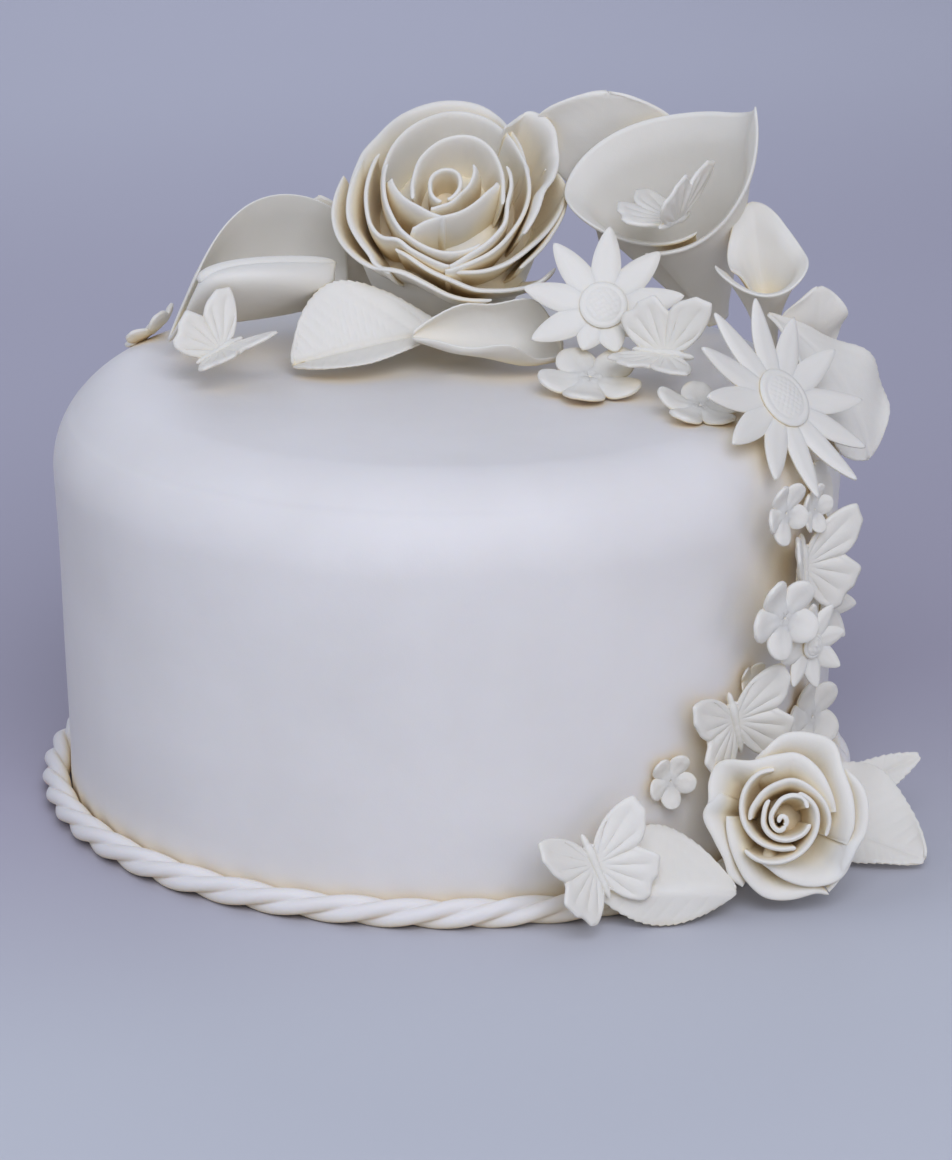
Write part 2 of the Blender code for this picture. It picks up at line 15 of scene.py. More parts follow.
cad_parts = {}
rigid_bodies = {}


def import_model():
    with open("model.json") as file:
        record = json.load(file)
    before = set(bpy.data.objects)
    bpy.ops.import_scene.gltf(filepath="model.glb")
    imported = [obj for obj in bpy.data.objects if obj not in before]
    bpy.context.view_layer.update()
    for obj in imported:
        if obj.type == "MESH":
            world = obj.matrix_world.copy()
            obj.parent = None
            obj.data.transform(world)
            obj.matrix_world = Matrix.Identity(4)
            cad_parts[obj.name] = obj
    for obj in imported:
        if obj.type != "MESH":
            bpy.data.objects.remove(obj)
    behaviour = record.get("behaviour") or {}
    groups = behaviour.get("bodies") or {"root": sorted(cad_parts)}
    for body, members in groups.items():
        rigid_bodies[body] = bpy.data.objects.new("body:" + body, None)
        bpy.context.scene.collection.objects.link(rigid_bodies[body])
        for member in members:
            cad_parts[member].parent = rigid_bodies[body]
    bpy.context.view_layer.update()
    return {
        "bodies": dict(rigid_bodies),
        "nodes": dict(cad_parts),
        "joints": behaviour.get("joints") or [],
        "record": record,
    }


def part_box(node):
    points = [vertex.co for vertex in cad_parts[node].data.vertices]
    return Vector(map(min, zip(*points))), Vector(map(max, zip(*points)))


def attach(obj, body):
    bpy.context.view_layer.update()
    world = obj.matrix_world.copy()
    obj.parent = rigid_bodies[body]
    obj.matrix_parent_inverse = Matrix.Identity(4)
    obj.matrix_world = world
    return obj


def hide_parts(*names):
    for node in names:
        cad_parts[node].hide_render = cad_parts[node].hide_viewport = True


MM = 0.001

# Camera: the photograph's viewpoint, fitted for a picture of 952 x 1160.
CAMERA_TARGET = (7.6, 0.0, 55.0)
CAMERA_DISTANCE = 1100.0
CAMERA_ELEVATION = 18.5
PICTURE_HEIGHT = 1160
FOCAL_PIXELS = 4140
SENSOR = 36.0

# Cake and rope, as in the CAD model.
BASE_RADIUS = 101.0
SHOULDER_RADIUS = 103.6
CAKE_HEIGHT = 112.5
SHOULDER_ACROSS = 21.0
SHOULDER_DOWN = 23.0
ROPE_DIAMETER = 7.5
ROPE_TURNS = 15
ROPE_STRANDS = 3
GAP = 0.3

LEAF_THICKNESS = 1.08
LEAF_WAVES = 2
PETAL_THICKNESS = 1.2
SPATHE_THICKNESS = 1.3
CUTTER_THICKNESS = 1.6
# Every thin solid thins to EDGE_THICKNESS over the last EDGE_WIDTH.
EDGE_THICKNESS = 0.225
EDGE_WIDTH = 1.6

# Points along and across each thin solid.
LEAF_GRID = (100, 37)
ROSE_PETAL_GRID = (26, 57)
SPATHE_GRID = (64, 121)
LILY_GRID = (80, 90)
CUT_PETAL_GRID = (31, 17)
WING_GRID = (21, 120)
BUTTERFLY_BODY_GRID = (34, 24)
DAISY_HUB_GRID = (26, 96)
BLOSSOM_DIMPLE_GRID = (14, 50)

# Outline of a butterfly's wing: degrees from its head and the reach there, as a share of its span.
WING_OUTLINE = (
    (0, 0.32),
    (24, 0.28),
    (36, 0.60),
    (53, 1.0),
    (78, 0.82),
    (90, 0.62),
    (107, 0.85),
    (130, 0.80),
    (150, 0.80),
    (168, 0.42),
    (180, 0.36),
)

# ---------------------------------------------------------------- frames


def heading(bearing, elevation=0.0):
    """The unit vector that points that way."""
    turn = math.radians(bearing)
    rise = math.radians(elevation)
    return Vector((math.sin(turn) * math.cos(rise), -math.cos(turn) * math.cos(rise), math.sin(rise)))


def axes_frame(origin, along, face):
    """A frame whose X runs along `along` and whose Z is as near to `face` as that allows."""
    x_axis = Vector(along).normalized()
    y_axis = Vector(face).cross(x_axis).normalized()
    z_axis = x_axis.cross(y_axis)
    turned = Matrix((x_axis, y_axis, z_axis)).transposed().to_4x4()
    return Matrix.Translation(Vector(origin)) @ turned


def facing(origin, bearing, elevation, spin=0.0):
    """A frame that faces out with its Z, X to the right of who looks at it, then turned by `spin`."""
    frame = axes_frame(origin, heading(bearing + 90), heading(bearing, elevation))
    return frame @ Matrix.Rotation(math.radians(spin), 4, "Z")


def perched(origin, head, face):
    """A butterfly's frame: its Y runs towards the head and its Z is as near to `face` as that allows."""
    return axes_frame(origin, Vector(head).cross(Vector(face)), face)


def cake_radius(height):
    """Radius of the cake's side at a height."""
    shoulder_foot = CAKE_HEIGHT - SHOULDER_DOWN
    if height <= shoulder_foot:
        return BASE_RADIUS + (SHOULDER_RADIUS - BASE_RADIUS) * height / shoulder_foot
    rise = min((height - shoulder_foot) / SHOULDER_DOWN, 1.0)
    return SHOULDER_RADIUS - SHOULDER_ACROSS * (1 - math.sqrt(1 - rise * rise))


def side_point(bearing, height, stand_off=0.0):
    """A point on the cake's side, or that far out from it."""
    return heading(bearing) * (cake_radius(height) + stand_off) + Vector((0, 0, height))


def in_frame(frame, points):
    placed = np.array(frame)
    return points @ placed[:3, :3].T + placed[:3, 3]


def settled(node, frame, points):
    """The frame, moved so that these points, the CAD node's own, have the middle of that node's box."""
    low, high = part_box(node)
    there = (np.array(low) + np.array(high)) / 2 / MM
    flat = in_frame(frame, points.reshape(-1, 3))
    here = (flat.min(0) + flat.max(0)) / 2
    return Matrix.Translation(Vector(there - here)) @ frame


# ---------------------------------------------------------------- thin solids


def spread(count, start=0.0, end=1.0):
    """Values that lie closer together towards both ends."""
    step = np.linspace(0.0, np.pi, count)
    return start + (end - start) * (1 - np.cos(step)) / 2


def mesh_grid(rows, columns):
    """The row's and the column's value at every point of a grid."""
    return np.meshgrid(rows, columns, indexing="ij")


def round_grid(counts):
    """From 0 to 1 along the rows, and once round along the columns."""
    rows, columns = counts
    return mesh_grid(np.linspace(0, 1, rows), np.linspace(0, 2 * np.pi, columns, endpoint=False))


def smooth(value, low, high):
    """Rises smoothly from 0 at low to 1 at high."""
    part = np.clip((value - low) / (high - low), 0.0, 1.0)
    return part * part * (3 - 2 * part)


def groove(distance, width):
    """1 at no distance, and a soft fall to 0 over about twice the width."""
    return np.exp(-((distance / width) ** 2))


def quads(rows, columns, closed=False, looped=False):
    """Faces over a grid of points; closed joins its last column to its first, looped its last row."""
    for row in range(rows if looped else rows - 1):
        below = (row + 1) % rows
        for column in range(columns if closed else columns - 1):
            after = (column + 1) % columns
            here, there = row * columns, below * columns
            yield here + column, there + column, there + after, here + after


def border(rows, columns):
    """The edges round an open grid of points."""
    last = (rows - 1) * columns
    for column in range(columns - 1):
        yield column, column + 1
        yield last + column + 1, last + column
    for row in range(rows - 1):
        here = row * columns
        yield here + columns, here
        yield here + columns - 1, here + 2 * columns - 1


def unit(vectors):
    """The vectors of a grid at length 1."""
    return vectors / np.maximum(np.linalg.norm(vectors, axis=2, keepdims=True), 1e-9)


class Paste:
    """Gathers the thin solids of one piece, in the piece's own frame."""

    def __init__(self):
        self.points = []
        self.faces = []
        self.count = 0

    def add(self, points, faces):
        self.points.append(points)
        self.faces += [tuple(index + self.count for index in face) for face in faces]
        self.count += len(points)

    def slab(self, middle, thickness):
        """A solid round the middle surface, a grid of points."""
        rows, columns = middle.shape[:2]
        normal = unit(np.cross(np.gradient(middle, axis=0), np.gradient(middle, axis=1)))
        half = normal * thickness[..., None] / 2
        under = rows * columns
        faces = []
        for corners in quads(rows, columns):
            faces += [corners, tuple(under + corner for corner in reversed(corners))]
        faces += [(start, stop, under + stop, under + start) for start, stop in border(rows, columns)]
        self.add(np.concatenate([(middle + half).reshape(-1, 3), (middle - half).reshape(-1, 3)]), faces)

    def disc(self, middle, thickness):
        """A solid round a middle surface of rings, the first of which is a single point repeated."""
        rows, columns = middle.shape[:2]
        across = np.gradient(np.concatenate([middle[:, -1:], middle, middle[:, :1]], axis=1), axis=1)[:, 1:-1]
        normal = np.cross(np.gradient(middle, axis=0), across)
        normal[0] = (0.0, 0.0, 1.0)
        half = unit(normal) * thickness[..., None] / 2
        tops = (middle + half)[1:].reshape(-1, 3)
        bottoms = (middle - half)[1:].reshape(-1, 3)
        poles = np.array([middle[0, 0] + half[0, 0], middle[0, 0] - half[0, 0]])
        under = len(tops)
        faces = []
        for corners in quads(rows - 1, columns, closed=True):
            faces += [corners, tuple(under + corner for corner in reversed(corners))]
        outer = under - columns
        for column in range(columns):
            after = (column + 1) % columns
            faces.append((2 * under, column, after))
            faces.append((2 * under + 1, under + after, under + column))
            faces.append((outer + column, under + outer + column, under + outer + after, outer + after))
        self.add(np.concatenate([tops, bottoms, poles]), faces)

    def tube(self, rings):
        """A closed tube through rings of points, capped at both ends."""
        rows, columns = rings.shape[:2]
        faces = [tuple(reversed(corners)) for corners in quads(rows, columns, closed=True)]
        faces.append(tuple(reversed(range(columns))))
        faces.append(tuple(range((rows - 1) * columns, rows * columns)))
        self.add(rings.reshape(-1, 3), faces)

    def finish(self, name, slot, frame=None):
        """The piece itself, in the row frame, standing for the CAD node of its name."""
        points = np.concatenate(self.points)
        if frame is not None:
            points = in_frame(frame, points)
        mesh = bpy.data.meshes.new(name + "_paste")
        mesh.from_pydata((points * MM).tolist(), [], self.faces)
        mesh.validate()
        mesh.shade_smooth()
        mesh.materials.append(MATERIALS[slot])
        piece = bpy.data.objects.new(name + "_paste", mesh)
        bpy.context.scene.collection.objects.link(piece)
        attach(piece, "root")
        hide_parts(name)
        return piece


def edged(thickness, *from_edges):
    """Thickness that thins to a rounded edge; from_edges are distances in millimetres."""
    nearest = from_edges[0]
    for other in from_edges[1:]:
        nearest = np.minimum(nearest, other)
    part = np.sqrt(np.clip(nearest / EDGE_WIDTH, 0.0, 1.0))
    return EDGE_THICKNESS + (thickness - EDGE_THICKNESS) * part


# ---------------------------------------------------------------- leaves

VEIN_SPACING = 4.2
VEIN_SLANT = 0.9
VEIN_WIDTH = 0.4
MIDRIB_WIDTH = 0.55
MIDRIB_DEPTH = 3.2
TOOTH_SPACING = 2.0
STALK_HALF = 0.7


def leaf_surface(u, v, length, halves, fold, arch, roll, wave, blunt, teeth=0.0):
    """A leaf from its stalk at u = 0 to its tip; v runs from -1 on its right to 1."""
    right = v < 0
    full = np.where((u > 0) & (u < 1), np.abs(np.sin(np.pi * u**blunt)) ** 0.7, 0.0)
    width = np.where(right, halves[0], halves[1])
    half = width * full + STALK_HALF
    saw = (u * length / TOOTH_SPACING) % 1.0
    half = half - teeth * (1 - saw) * np.abs(v) ** 6 * np.minimum(full * 3, 1.0)
    raised = np.where(right, math.radians(fold[0]), math.radians(fold[1])) + roll / width * np.abs(v)
    out = np.abs(v) * half
    up = out * np.sin(raised) + arch * 4 * u * (1 - u)
    up = up + wave * np.sin(2 * np.pi * LEAF_WAVES * u + 2 * v) * v * v * full
    return np.stack([u * length, np.copysign(out * np.cos(raised), v), up], axis=-1)


def leaf(name, base, tip, face, halves, fold=(0, 0), arch=0.0, roll=0.0, wave=0.0, blunt=0.75,
         along=7, across=6, teeth=0.4, veins=0.13, frill=0.3, seed=0.0):
    """A leaf with a pressed-in midrib, faint side veins, a toothed edge and an uneven ripple.

    along and across are the steps of the CAD leaf, whose box it is set on.
    """
    run = Vector(tip) - Vector(base)
    length = run.length
    shape = (length, halves, fold, arch, roll, wave, blunt)
    coarse = mesh_grid(np.linspace(0, 1, along + 1), np.linspace(-1, 1, across + 1))
    frame = axes_frame(base, run, heading(*face))
    frame = settled(name, frame, leaf_surface(*coarse, *shape))
    u, v = mesh_grid(np.linspace(0, 1, LEAF_GRID[0]), spread(LEAF_GRID[1], -1, 1))
    middle = leaf_surface(u, v, *shape, teeth)
    half = np.where(v < 0, halves[0], halves[1])
    flank = np.abs(v) * half * np.sin(np.pi * np.clip(u, 0.02, 0.98) ** blunt)
    relief = -MIDRIB_DEPTH * veins * groove(flank, MIDRIB_WIDTH)
    vein = (u * length - VEIN_SLANT * flank) / VEIN_SPACING + np.where(v < 0, 0.0, 0.45)
    nearest = np.abs(vein - np.round(vein)) * VEIN_SPACING
    side_veins = groove(nearest, VEIN_WIDTH) * smooth(flank, 0.3, 2.0) * (1 - smooth(np.abs(v), 0.7, 0.98))
    relief = relief - veins * side_veins
    relief = relief + frill * np.sin(u * length * 0.4 + seed + 2 * v) * np.abs(v) ** 4
    relief = relief + frill * np.sin(u * length * 0.17 + 2.2 * seed + v) * np.abs(v) ** 2
    edge = (1 - np.abs(v)) * half
    paste = Paste()
    middle[..., 2] += relief
    paste.slab(middle, edged(LEAF_THICKNESS, edge, u * length + 0.3, (1 - u) * length + 0.3))
    return paste.finish(name, "flower_paste", frame)


# ---------------------------------------------------------------- roses


def bezier(points, t):
    """A point on a cubic curve through (across, up) pairs."""
    weights = ((1 - t) ** 3, 3 * t * (1 - t) ** 2, 3 * t * t * (1 - t), t**3)
    return [sum(w * p[axis] for w, p in zip(weights, points)) for axis in (0, 1)]


# A lip narrows towards the ends of its petal; one broader than BROAD_LIP keeps more of its width.
BROAD_LIP = 3.6
BROAD_TAPER = 0.2
LIP_TAPER = 0.5
# A wall of this belly rises straight under its lip; a fuller one bulges out.
FLAT_BELLY = 0.92
ROSE_ROOT_RADIUS = 4.0
RIM_RIPPLE = 0.25
RIPPLE_STEP = 1.9
# A petal's rough size, which says how near its edges a point is.
RIM_LENGTH = 40.0
WALL_LENGTH = 14.0
HEART_CORNERS = 40


def rim_petal(paste, rim, heights, foot, lip, lift, belly, seed):
    """A petal under a rim of stations: its wall rises from the heart at `foot` and its lip rolls out."""
    stations = np.array(rim, float)
    known = np.arange(len(stations), dtype=float)
    u, at = mesh_grid(np.linspace(0.0, 1.0, ROSE_PETAL_GRID[0]), spread(ROSE_PETAL_GRID[1], 0.0, known[-1]))
    bearing = np.radians(smooth_curve(known, stations[:, 0], at))
    far = smooth_curve(known, stations[:, 1], at)
    part = at / known[-1]
    fullness = np.sin(np.pi * np.clip(part, 0.02, 0.98))
    own = lip * fullness ** (BROAD_TAPER if lip > BROAD_LIP else LIP_TAPER)
    inner = far - own
    ripple = RIM_RIPPLE * np.sin(1.3 * at + seed)
    top = np.interp(far, *heights) + lift + ripple - 0.35 * lip * (1 - fullness) ** 3
    over = belly - FLAT_BELLY
    wall = (
        (np.minimum(ROSE_ROOT_RADIUS, 0.7 * inner), foot),
        (belly * inner, foot + 0.35 * (top - foot)),
        (inner * (1 + 0.5 * over) - 0.1 * own, top - 0.6 - 8 * over),
        (far, top - 0.15 * own),
    )
    out, up = bezier(wall, 1 - (1 - u) ** 1.2)
    middle = np.stack([out * np.cos(bearing), out * np.sin(bearing), up], axis=-1)
    side = np.minimum(part, 1 - part) * RIM_LENGTH
    paste.slab(middle, edged(PETAL_THICKNESS, side + 0.1, (1 - u) * WALL_LENGTH + 0.1))


# For each rose: the heights of rims and of petal roots by radius, the heart, then each petal from the bud
# out: lip, lift of its rim, belly and the (bearing, radius) stations that the rim runs through.
TOP_ROSE_HEIGHTS = ((3.5, 10.0, 18.0, 25.5, 33.0), (52.5, 52.5, 50.5, 47.0, 42.0))
TOP_ROSE_ROOTS = ((3.5, 10.0, 18.0, 25.5, 33.0), (30.0, 26.0, 21.0, 17.0, 14.0))
TOP_ROSE_HEART = (
    (3.0, -5.0), (14.0, 5.0), (22.0, 17.0), (24.0, 27.0), (18.0, 35.0), (12.0, 39.0), (6.0, 42.0), (3.0, 43.0)
)
TOP_ROSE_RIMS = (
    (0.8, 0.4, 1.2, ((-104, 5.8), (-128, 5.6), (-169, 4.5), (-221, 4.5), (-264, 4.6), (-305, 4.3),
        (-355, 3.6), (-407, 3.9), (-448, 4.8))),
    (1.0, 0.0, 1.5, ((-118, 8.7), (-94, 6.5), (-42, 4.6), (2, 6.0), (41, 9.1))),
    (1.0, 0.0, 1.5, ((170, 14.5), (196, 12.0), (222, 10.2), (248, 10.1), (268, 10.4))),
    (1.4, 0.0, 1.55, ((-125, 15.4), (-114, 12.3), (-93, 10.2), (-49, 9.3), (-16, 10.4), (5, 13.0))),
    (2.2, 0.0, 0.95, ((-153, 9.9), (-172, 9.4), (-206, 9.6), (-242, 12.4), (-268, 15.6), (-290, 17.8),
        (-310, 17.5), (-331, 16.0), (-359, 15.0), (-380, 15.4))),
    (2.4, 0.0, 1.25, ((153, 17.4), (178, 16.4), (206, 16.5), (229, 17.7), (248, 18.6), (265, 19.3),
        (280, 19.3), (297, 18.8))),
    (2.4, 0.2, 1.2, ((-88, 22.3), (-73, 20.6), (-52, 19.4), (-34, 18.4), (-15, 16.5), (7, 16.9),
        (24, 17.0))),
    (2.8, 0.0, 1.15, ((145, 21.6), (164, 21.0), (188, 21.4), (206, 22.2), (219, 21.9), (230, 20.1),
        (242, 20.5), (256, 21.1), (272, 22.2))),
    (2.8, 0.0, 1.1, ((-91, 23.5), (-74, 22.4), (-57, 21.9), (-38, 21.3), (-21, 21.3), (-3, 21.6),
        (16, 22.1), (34, 23.1))),
    (3.2, 0.0, 0.95, ((164, 17.5), (143, 19.6), (122, 22.5), (103, 25.8), (87, 29.3), (71, 29.1),
        (54, 26.2), (36, 23.7), (18, 22.6))),
    (4.6, 0.0, 1.05, ((-85, 23.6), (-70, 25.5), (-55, 26.3), (-34, 27.0), (-16, 28.7), (-1, 30.7),
        (8, 31.6))),
    (4.8, 0.0, 1.05, ((-128, 21.7), (-115, 22.5), (-100, 24.4), (-87, 26.4), (-75, 29.1), (-67, 30.3),
        (-54, 32.3), (-43, 33.9), (-33, 33.8))),
    (4.2, 0.0, 1.0, ((150, 25.9), (167, 25.8), (182, 26.4), (195, 27.0), (210, 26.9), (220, 27.0),
        (227, 27.7), (237, 27.2))),
    (4.4, -0.5, 1.0, ((161, 29.1), (175, 29.9), (187, 30.6), (200, 30.6), (214, 29.7), (226, 28.7),
        (237, 27.0), (247, 26.5), (260, 27.5), (272, 29.4), (281, 30.5), (292, 31.3))),
    (4.2, -0.5, 0.92, ((175, 26.2), (157, 26.4), (145, 27.4), (130, 28.5), (112, 32.5), (99, 34.1),
        (88, 34.9), (77, 34.8), (67, 33.1), (54, 28.8), (37, 25.1), (24, 23.1))),
    (4.6, 4.0, 0.95, ((53, 25.6), (54, 34.8), (46, 37.0), (38, 36.3), (30, 33.9), (23, 32.2), (10, 28.8),
        (-2, 25.8), (-18, 25.1), (-35, 24.7))),
    (4.0, -0.8, 1.0, ((24, 28.3), (20, 31.3), (10, 32.2), (-1, 31.3), (-17, 29.6), (-32, 28.7),
        (-47, 27.9))),
)
FOOT_ROSE_HEIGHTS = ((8.0, 12.0, 16.0, 20.0, 25.0), (28.0, 26.6, 25.0, 23.4, 21.4))
FOOT_ROSE_ROOTS = ((4.0, 10.0, 22.0), (15.0, 10.0, 6.0))
FOOT_ROSE_HEART = ((3.0, 0.0), (5.0, 6.0), (7.0, 11.0), (6.0, 15.0), (3.0, 18.0), (0.8, 19.0))
FOOT_ROSE_RIMS = (
    (0.2, 0.0, 0.9, ((230, 0.7), (110, 0.8), (10, 1.0), (-40, 1.4), (-68, 1.7))),
    (0.6, 0.0, 0.95, ((-68, 1.7), (-102, 2.9), (-141, 2.9), (-182, 2.9), (-239, 3.6), (-274, 5.5),
        (-299, 6.9), (-317, 7.5), (-335, 6.8))),
    (1.4, 0.0, 1.0, ((123, 5.7), (164, 4.9), (198, 5.1), (233, 5.2), (269, 5.4), (304, 5.9), (330, 6.6),
        (351, 6.9))),
    (2.4, 0.2, 1.05, ((58, 7.6), (42, 8.4), (19, 9.1), (-10, 9.2), (-39, 9.4), (-70, 10.1), (-98, 11.1),
        (-120, 11.8), (-140, 11.8))),
    (3.0, -0.4, 1.0, ((-179, 7.9), (-196, 8.3), (-221, 8.3), (-260, 9.3), (-286, 10.6), (-315, 11.0),
        (-343, 11.8), (-363, 12.1), (-380, 11.5))),
    (2.0, -0.2, 1.0, ((99, 12.3), (116, 12.8), (137, 12.2), (163, 10.9), (187, 9.8), (216, 8.6), (247, 7.8),
        (277, 7.6), (296, 7.7))),
    (6.5, -1.2, 0.92, ((113, 16.3), (102, 18.0), (87, 21.3), (69, 22.8), (55, 23.2), (38, 19.8), (15, 18.6),
        (-5, 18.2), (-21, 17.6))),
    (5.5, -1.6, 0.92, ((38, 20.5), (21, 22.0), (6, 22.0), (-10, 21.3), (-20, 20.3), (-36, 20.4),
        (-56, 21.7))),
    (6.5, -1.2, 0.92, ((-8, 21.2), (-26, 20.3), (-44, 20.9), (-61, 19.0), (-82, 15.7), (-103, 12.8),
        (-117, 11.8))),
    (6.0, -1.6, 0.92, ((177, 13.5), (201, 14.1), (223, 15.5), (243, 17.9), (259, 19.8), (274, 20.1),
        (294, 20.2), (303, 22.2))),
    (6.0, -1.4, 0.92, ((156, 16.5), (167, 18.3), (178, 19.3), (195, 17.6), (214, 17.3), (229, 19.2),
        (241, 19.3))),
    (6.5, -0.6, 0.92, ((176, 18.4), (164, 18.7), (152, 20.2), (137, 20.8), (118, 16.4), (95, 16.1),
        (76, 16.9), (54, 15.7), (32, 14.3), (8, 13.7))),
)


def rose(name, frame, heart, rims, heights, roots):
    """A rose of thin petals that wrap round one another over a heart of (radius, height) stations."""
    paste = Paste()
    stations = np.array(heart)
    row, turn = mesh_grid(np.arange(len(heart)), np.linspace(0, 2 * np.pi, HEART_CORNERS, endpoint=False))
    radius, up = stations[row, 0], stations[row, 1]
    paste.tube(np.stack([radius * np.cos(turn), radius * np.sin(turn), up], axis=-1))
    for number, (lip, lift, belly, rim) in enumerate(rims):
        mean = sum(radius for _, radius in rim) / len(rim)
        rim_petal(paste, rim, heights, np.interp(mean, *roots), lip, lift, belly, RIPPLE_STEP * number)
    return paste.finish(name, "flower_paste", frame)


def rose_top():
    """The large rose on top, which faces the front and up."""
    frame = facing((0, 49, 120.5), 0, 48)
    return rose("rose_top", frame, TOP_ROSE_HEART, TOP_ROSE_RIMS, TOP_ROSE_HEIGHTS, TOP_ROSE_ROOTS)


def rose_foot():
    """The smaller rose at the foot, its heart rolled up in crescents and its outer petals broad."""
    frame = facing((83.3, -71.5, 15.6), -1, 21)
    return rose("rose_foot", frame, FOOT_ROSE_HEART, FOOT_ROSE_RIMS, FOOT_ROSE_HEIGHTS, FOOT_ROSE_ROOTS)


# ---------------------------------------------------------------- calla lilies


# Degrees to each side over which a spathe comes to its point.
POINT_SPREAD = 45
# Rough way round half a spathe.
SPATHE_GIRTH = 40.0


def calla_surface(u, v, length, semi, rims, wrap, lean, flare, point, peak):
    """A funnel from its closed end at u = 0 to its rim, wrapped by `wrap` degrees to each side."""
    at_point, at_back, at_far, at_front = rims
    angle = np.radians(90 + wrap * v)
    ahead, aside = np.cos(angle), np.sin(angle)
    rise = np.where(ahead > 0, at_point, at_far) * ahead**2
    rise = rise + np.where(aside > 0, at_back, at_front) * aside**2
    sharp = np.maximum(0.0, 1 - np.abs(np.degrees(np.arctan2(aside, ahead))) / POINT_SPREAD)
    rise = rise + peak * sharp**2
    open_out = 0.12 + 0.88 * u**flare
    out = open_out * (1 + (point - 1) * sharp * u) + 0.03
    shift = lean * v * (0.4 + 0.6 * u)
    return np.stack(
        [(semi[0] * out + shift) * ahead, (semi[1] * out + shift) * aside, u * length + rise * u**3], axis=-1
    )


def calla(name, tip_point, mouth, point_way, semi, rims, wrap, lean, flare=2.2, point=1.2, roll=1.2,
          peak=0.0):
    """A spathe rolled into a funnel with a lip that turns out and, by peak, a tip that is drawn up."""
    start = Vector(tip_point)
    run = Vector(mouth) - start
    axis = run.normalized()
    pointed = Vector(point_way)
    pointed = (pointed - axis * pointed.dot(axis)).normalized()
    frame = axes_frame(start, pointed, axis)
    u, v = mesh_grid(np.linspace(0, 1, SPATHE_GRID[0]), spread(SPATHE_GRID[1], -1, 1))
    middle = calla_surface(u, v, run.length, semi, rims, wrap, lean, flare, point, peak)
    angle = np.radians(90 + wrap * v)
    lip = roll * smooth(u, 0.88, 1.0)
    side = math.copysign(1.0, semi[1])
    middle[..., 0] += lip * np.cos(angle)
    middle[..., 1] += lip * np.sin(angle) * side
    middle[..., 2] += 0.4 * np.sin(3 * angle + 1) * u**3 - 0.7 * lip * lip
    margin = (1 - np.abs(v)) * SPATHE_GIRTH
    paste = Paste()
    paste.slab(middle, edged(SPATHE_THICKNESS, margin + 0.05, (1 - u) * run.length + 0.05))
    return paste.finish(name, "flower_paste", frame)


# The left lily's net, as in the CAD model.
LEFT_LILY = (
    ((-29, 17, 137.5), (-29, 16, 129.5), (-27, 36, 126), (-29, 37, 146)),
    ((-45, 8.5, 139.5), (-44.5, 7, 130), (-46, 33, 121), (-43, 35, 152)),
    ((-57.5, 4, 138.8), (-59, 4, 130), (-63, 27, 119), (-56, 30, 147)),
    ((-64.2, 2, 135.7), (-69, 5, 126), (-73.5, 12, 117.5), (-66, 19, 134)),
)
LILY_MARGIN_RADIUS = 2.4
LILY_MARGIN_CORNERS = 28
# The cord's middle lies between the margin and the first of these columns of points, and the second is the
# way in from it.
LILY_CORD_COLUMN = 8
LILY_INWARD_COLUMN = 14
LILY_LENGTH = 45
LILY_GIRTH = 60


def cubic_weights(at):
    """Weights of the cubic through four values at 0, 1/3, 2/3 and 1."""
    places = (0.0, 1 / 3, 2 / 3, 1.0)
    weights = []
    for index in range(4):
        weight = np.ones_like(at)
        for other, place in enumerate(places):
            if other != index:
                weight = weight * (at - place) / (places[index] - place)
        weights.append(weight)
    return np.stack(weights)


def lily_left():
    """The lily that lies on its side, with its near margin rolled up like a cord."""
    net = np.array(LEFT_LILY, float)
    u, v = np.linspace(0, 1, LILY_GRID[0]), spread(LILY_GRID[1])
    middle = np.einsum("iu,jv,ijk->uvk", cubic_weights(u), cubic_weights(v), net)
    along, across = mesh_grid(u, v)
    middle[..., 2] += 0.5 * np.sin(7 * along + 3 * across) * across**3
    paste = Paste()
    edge = np.minimum(across, 1 - across) * LILY_GIRTH
    ends = np.minimum(along, 1 - along) * LILY_LENGTH
    paste.slab(middle, edged(SPATHE_THICKNESS, edge + 0.05, ends + 0.05))
    spine = (middle[:, 0] + middle[:, LILY_CORD_COLUMN]) / 2
    run = np.gradient(spine, axis=0)
    run /= np.linalg.norm(run, axis=1, keepdims=True)
    inward = middle[:, LILY_INWARD_COLUMN] - middle[:, 0]
    inward -= run * np.sum(inward * run, axis=1, keepdims=True)
    inward /= np.linalg.norm(inward, axis=1, keepdims=True)
    third = np.cross(run, inward)
    turn = np.linspace(0, 2 * np.pi, LILY_MARGIN_CORNERS, endpoint=False)
    swell = LILY_MARGIN_RADIUS * np.sqrt(np.clip(1 - (2 * u - 1) ** 8, 0.0, 1.0)) * (0.72 + 0.28 * u)
    ring = inward[:, None] * np.cos(turn)[None, :, None] + third[:, None] * np.sin(turn)[None, :, None]
    paste.tube(spine[:, None] + ring * np.maximum(swell, 0.05)[:, None, None])
    return paste.finish("calla_left", "flower_paste")


# ---------------------------------------------------------------- cut flowers and butterflies

# Radius of a cut flower's rim as a share of its reach: at the notch, on the flanks and at the tip.
DAISY_FLANK = (0.40, 0.68, 0.90, 1.0)
BLOSSOM_FLANK = (0.56, 0.90, 0.985, 1.0)
BLOSSOM_PETALS = 5
# Reach of a petal that lies under its neighbours.
TUCKED_REACH = 0.62
# Degrees of a wing from one rib to the next.
RIB_TURN = 9.5


def cut_points(petals, reach, flank, cup, tucked=()):
    """The CAD flower's rim, which gives the middle of its box."""
    notch, low, high, tip = (reach * part for part in flank)
    rim = []
    for petal in range(petals):
        for part, radius in ((0.0, notch), (0.17, low), (0.33, high), (0.5, tip), (0.67, high), (0.83, low)):
            angle = 2 * math.pi * (petal + part) / petals
            if petal in tucked:
                radius = min(radius, reach * TUCKED_REACH)
            rim.append((radius * math.cos(angle), radius * math.sin(angle), cup * (radius / reach) ** 2))
    return np.array(rim)


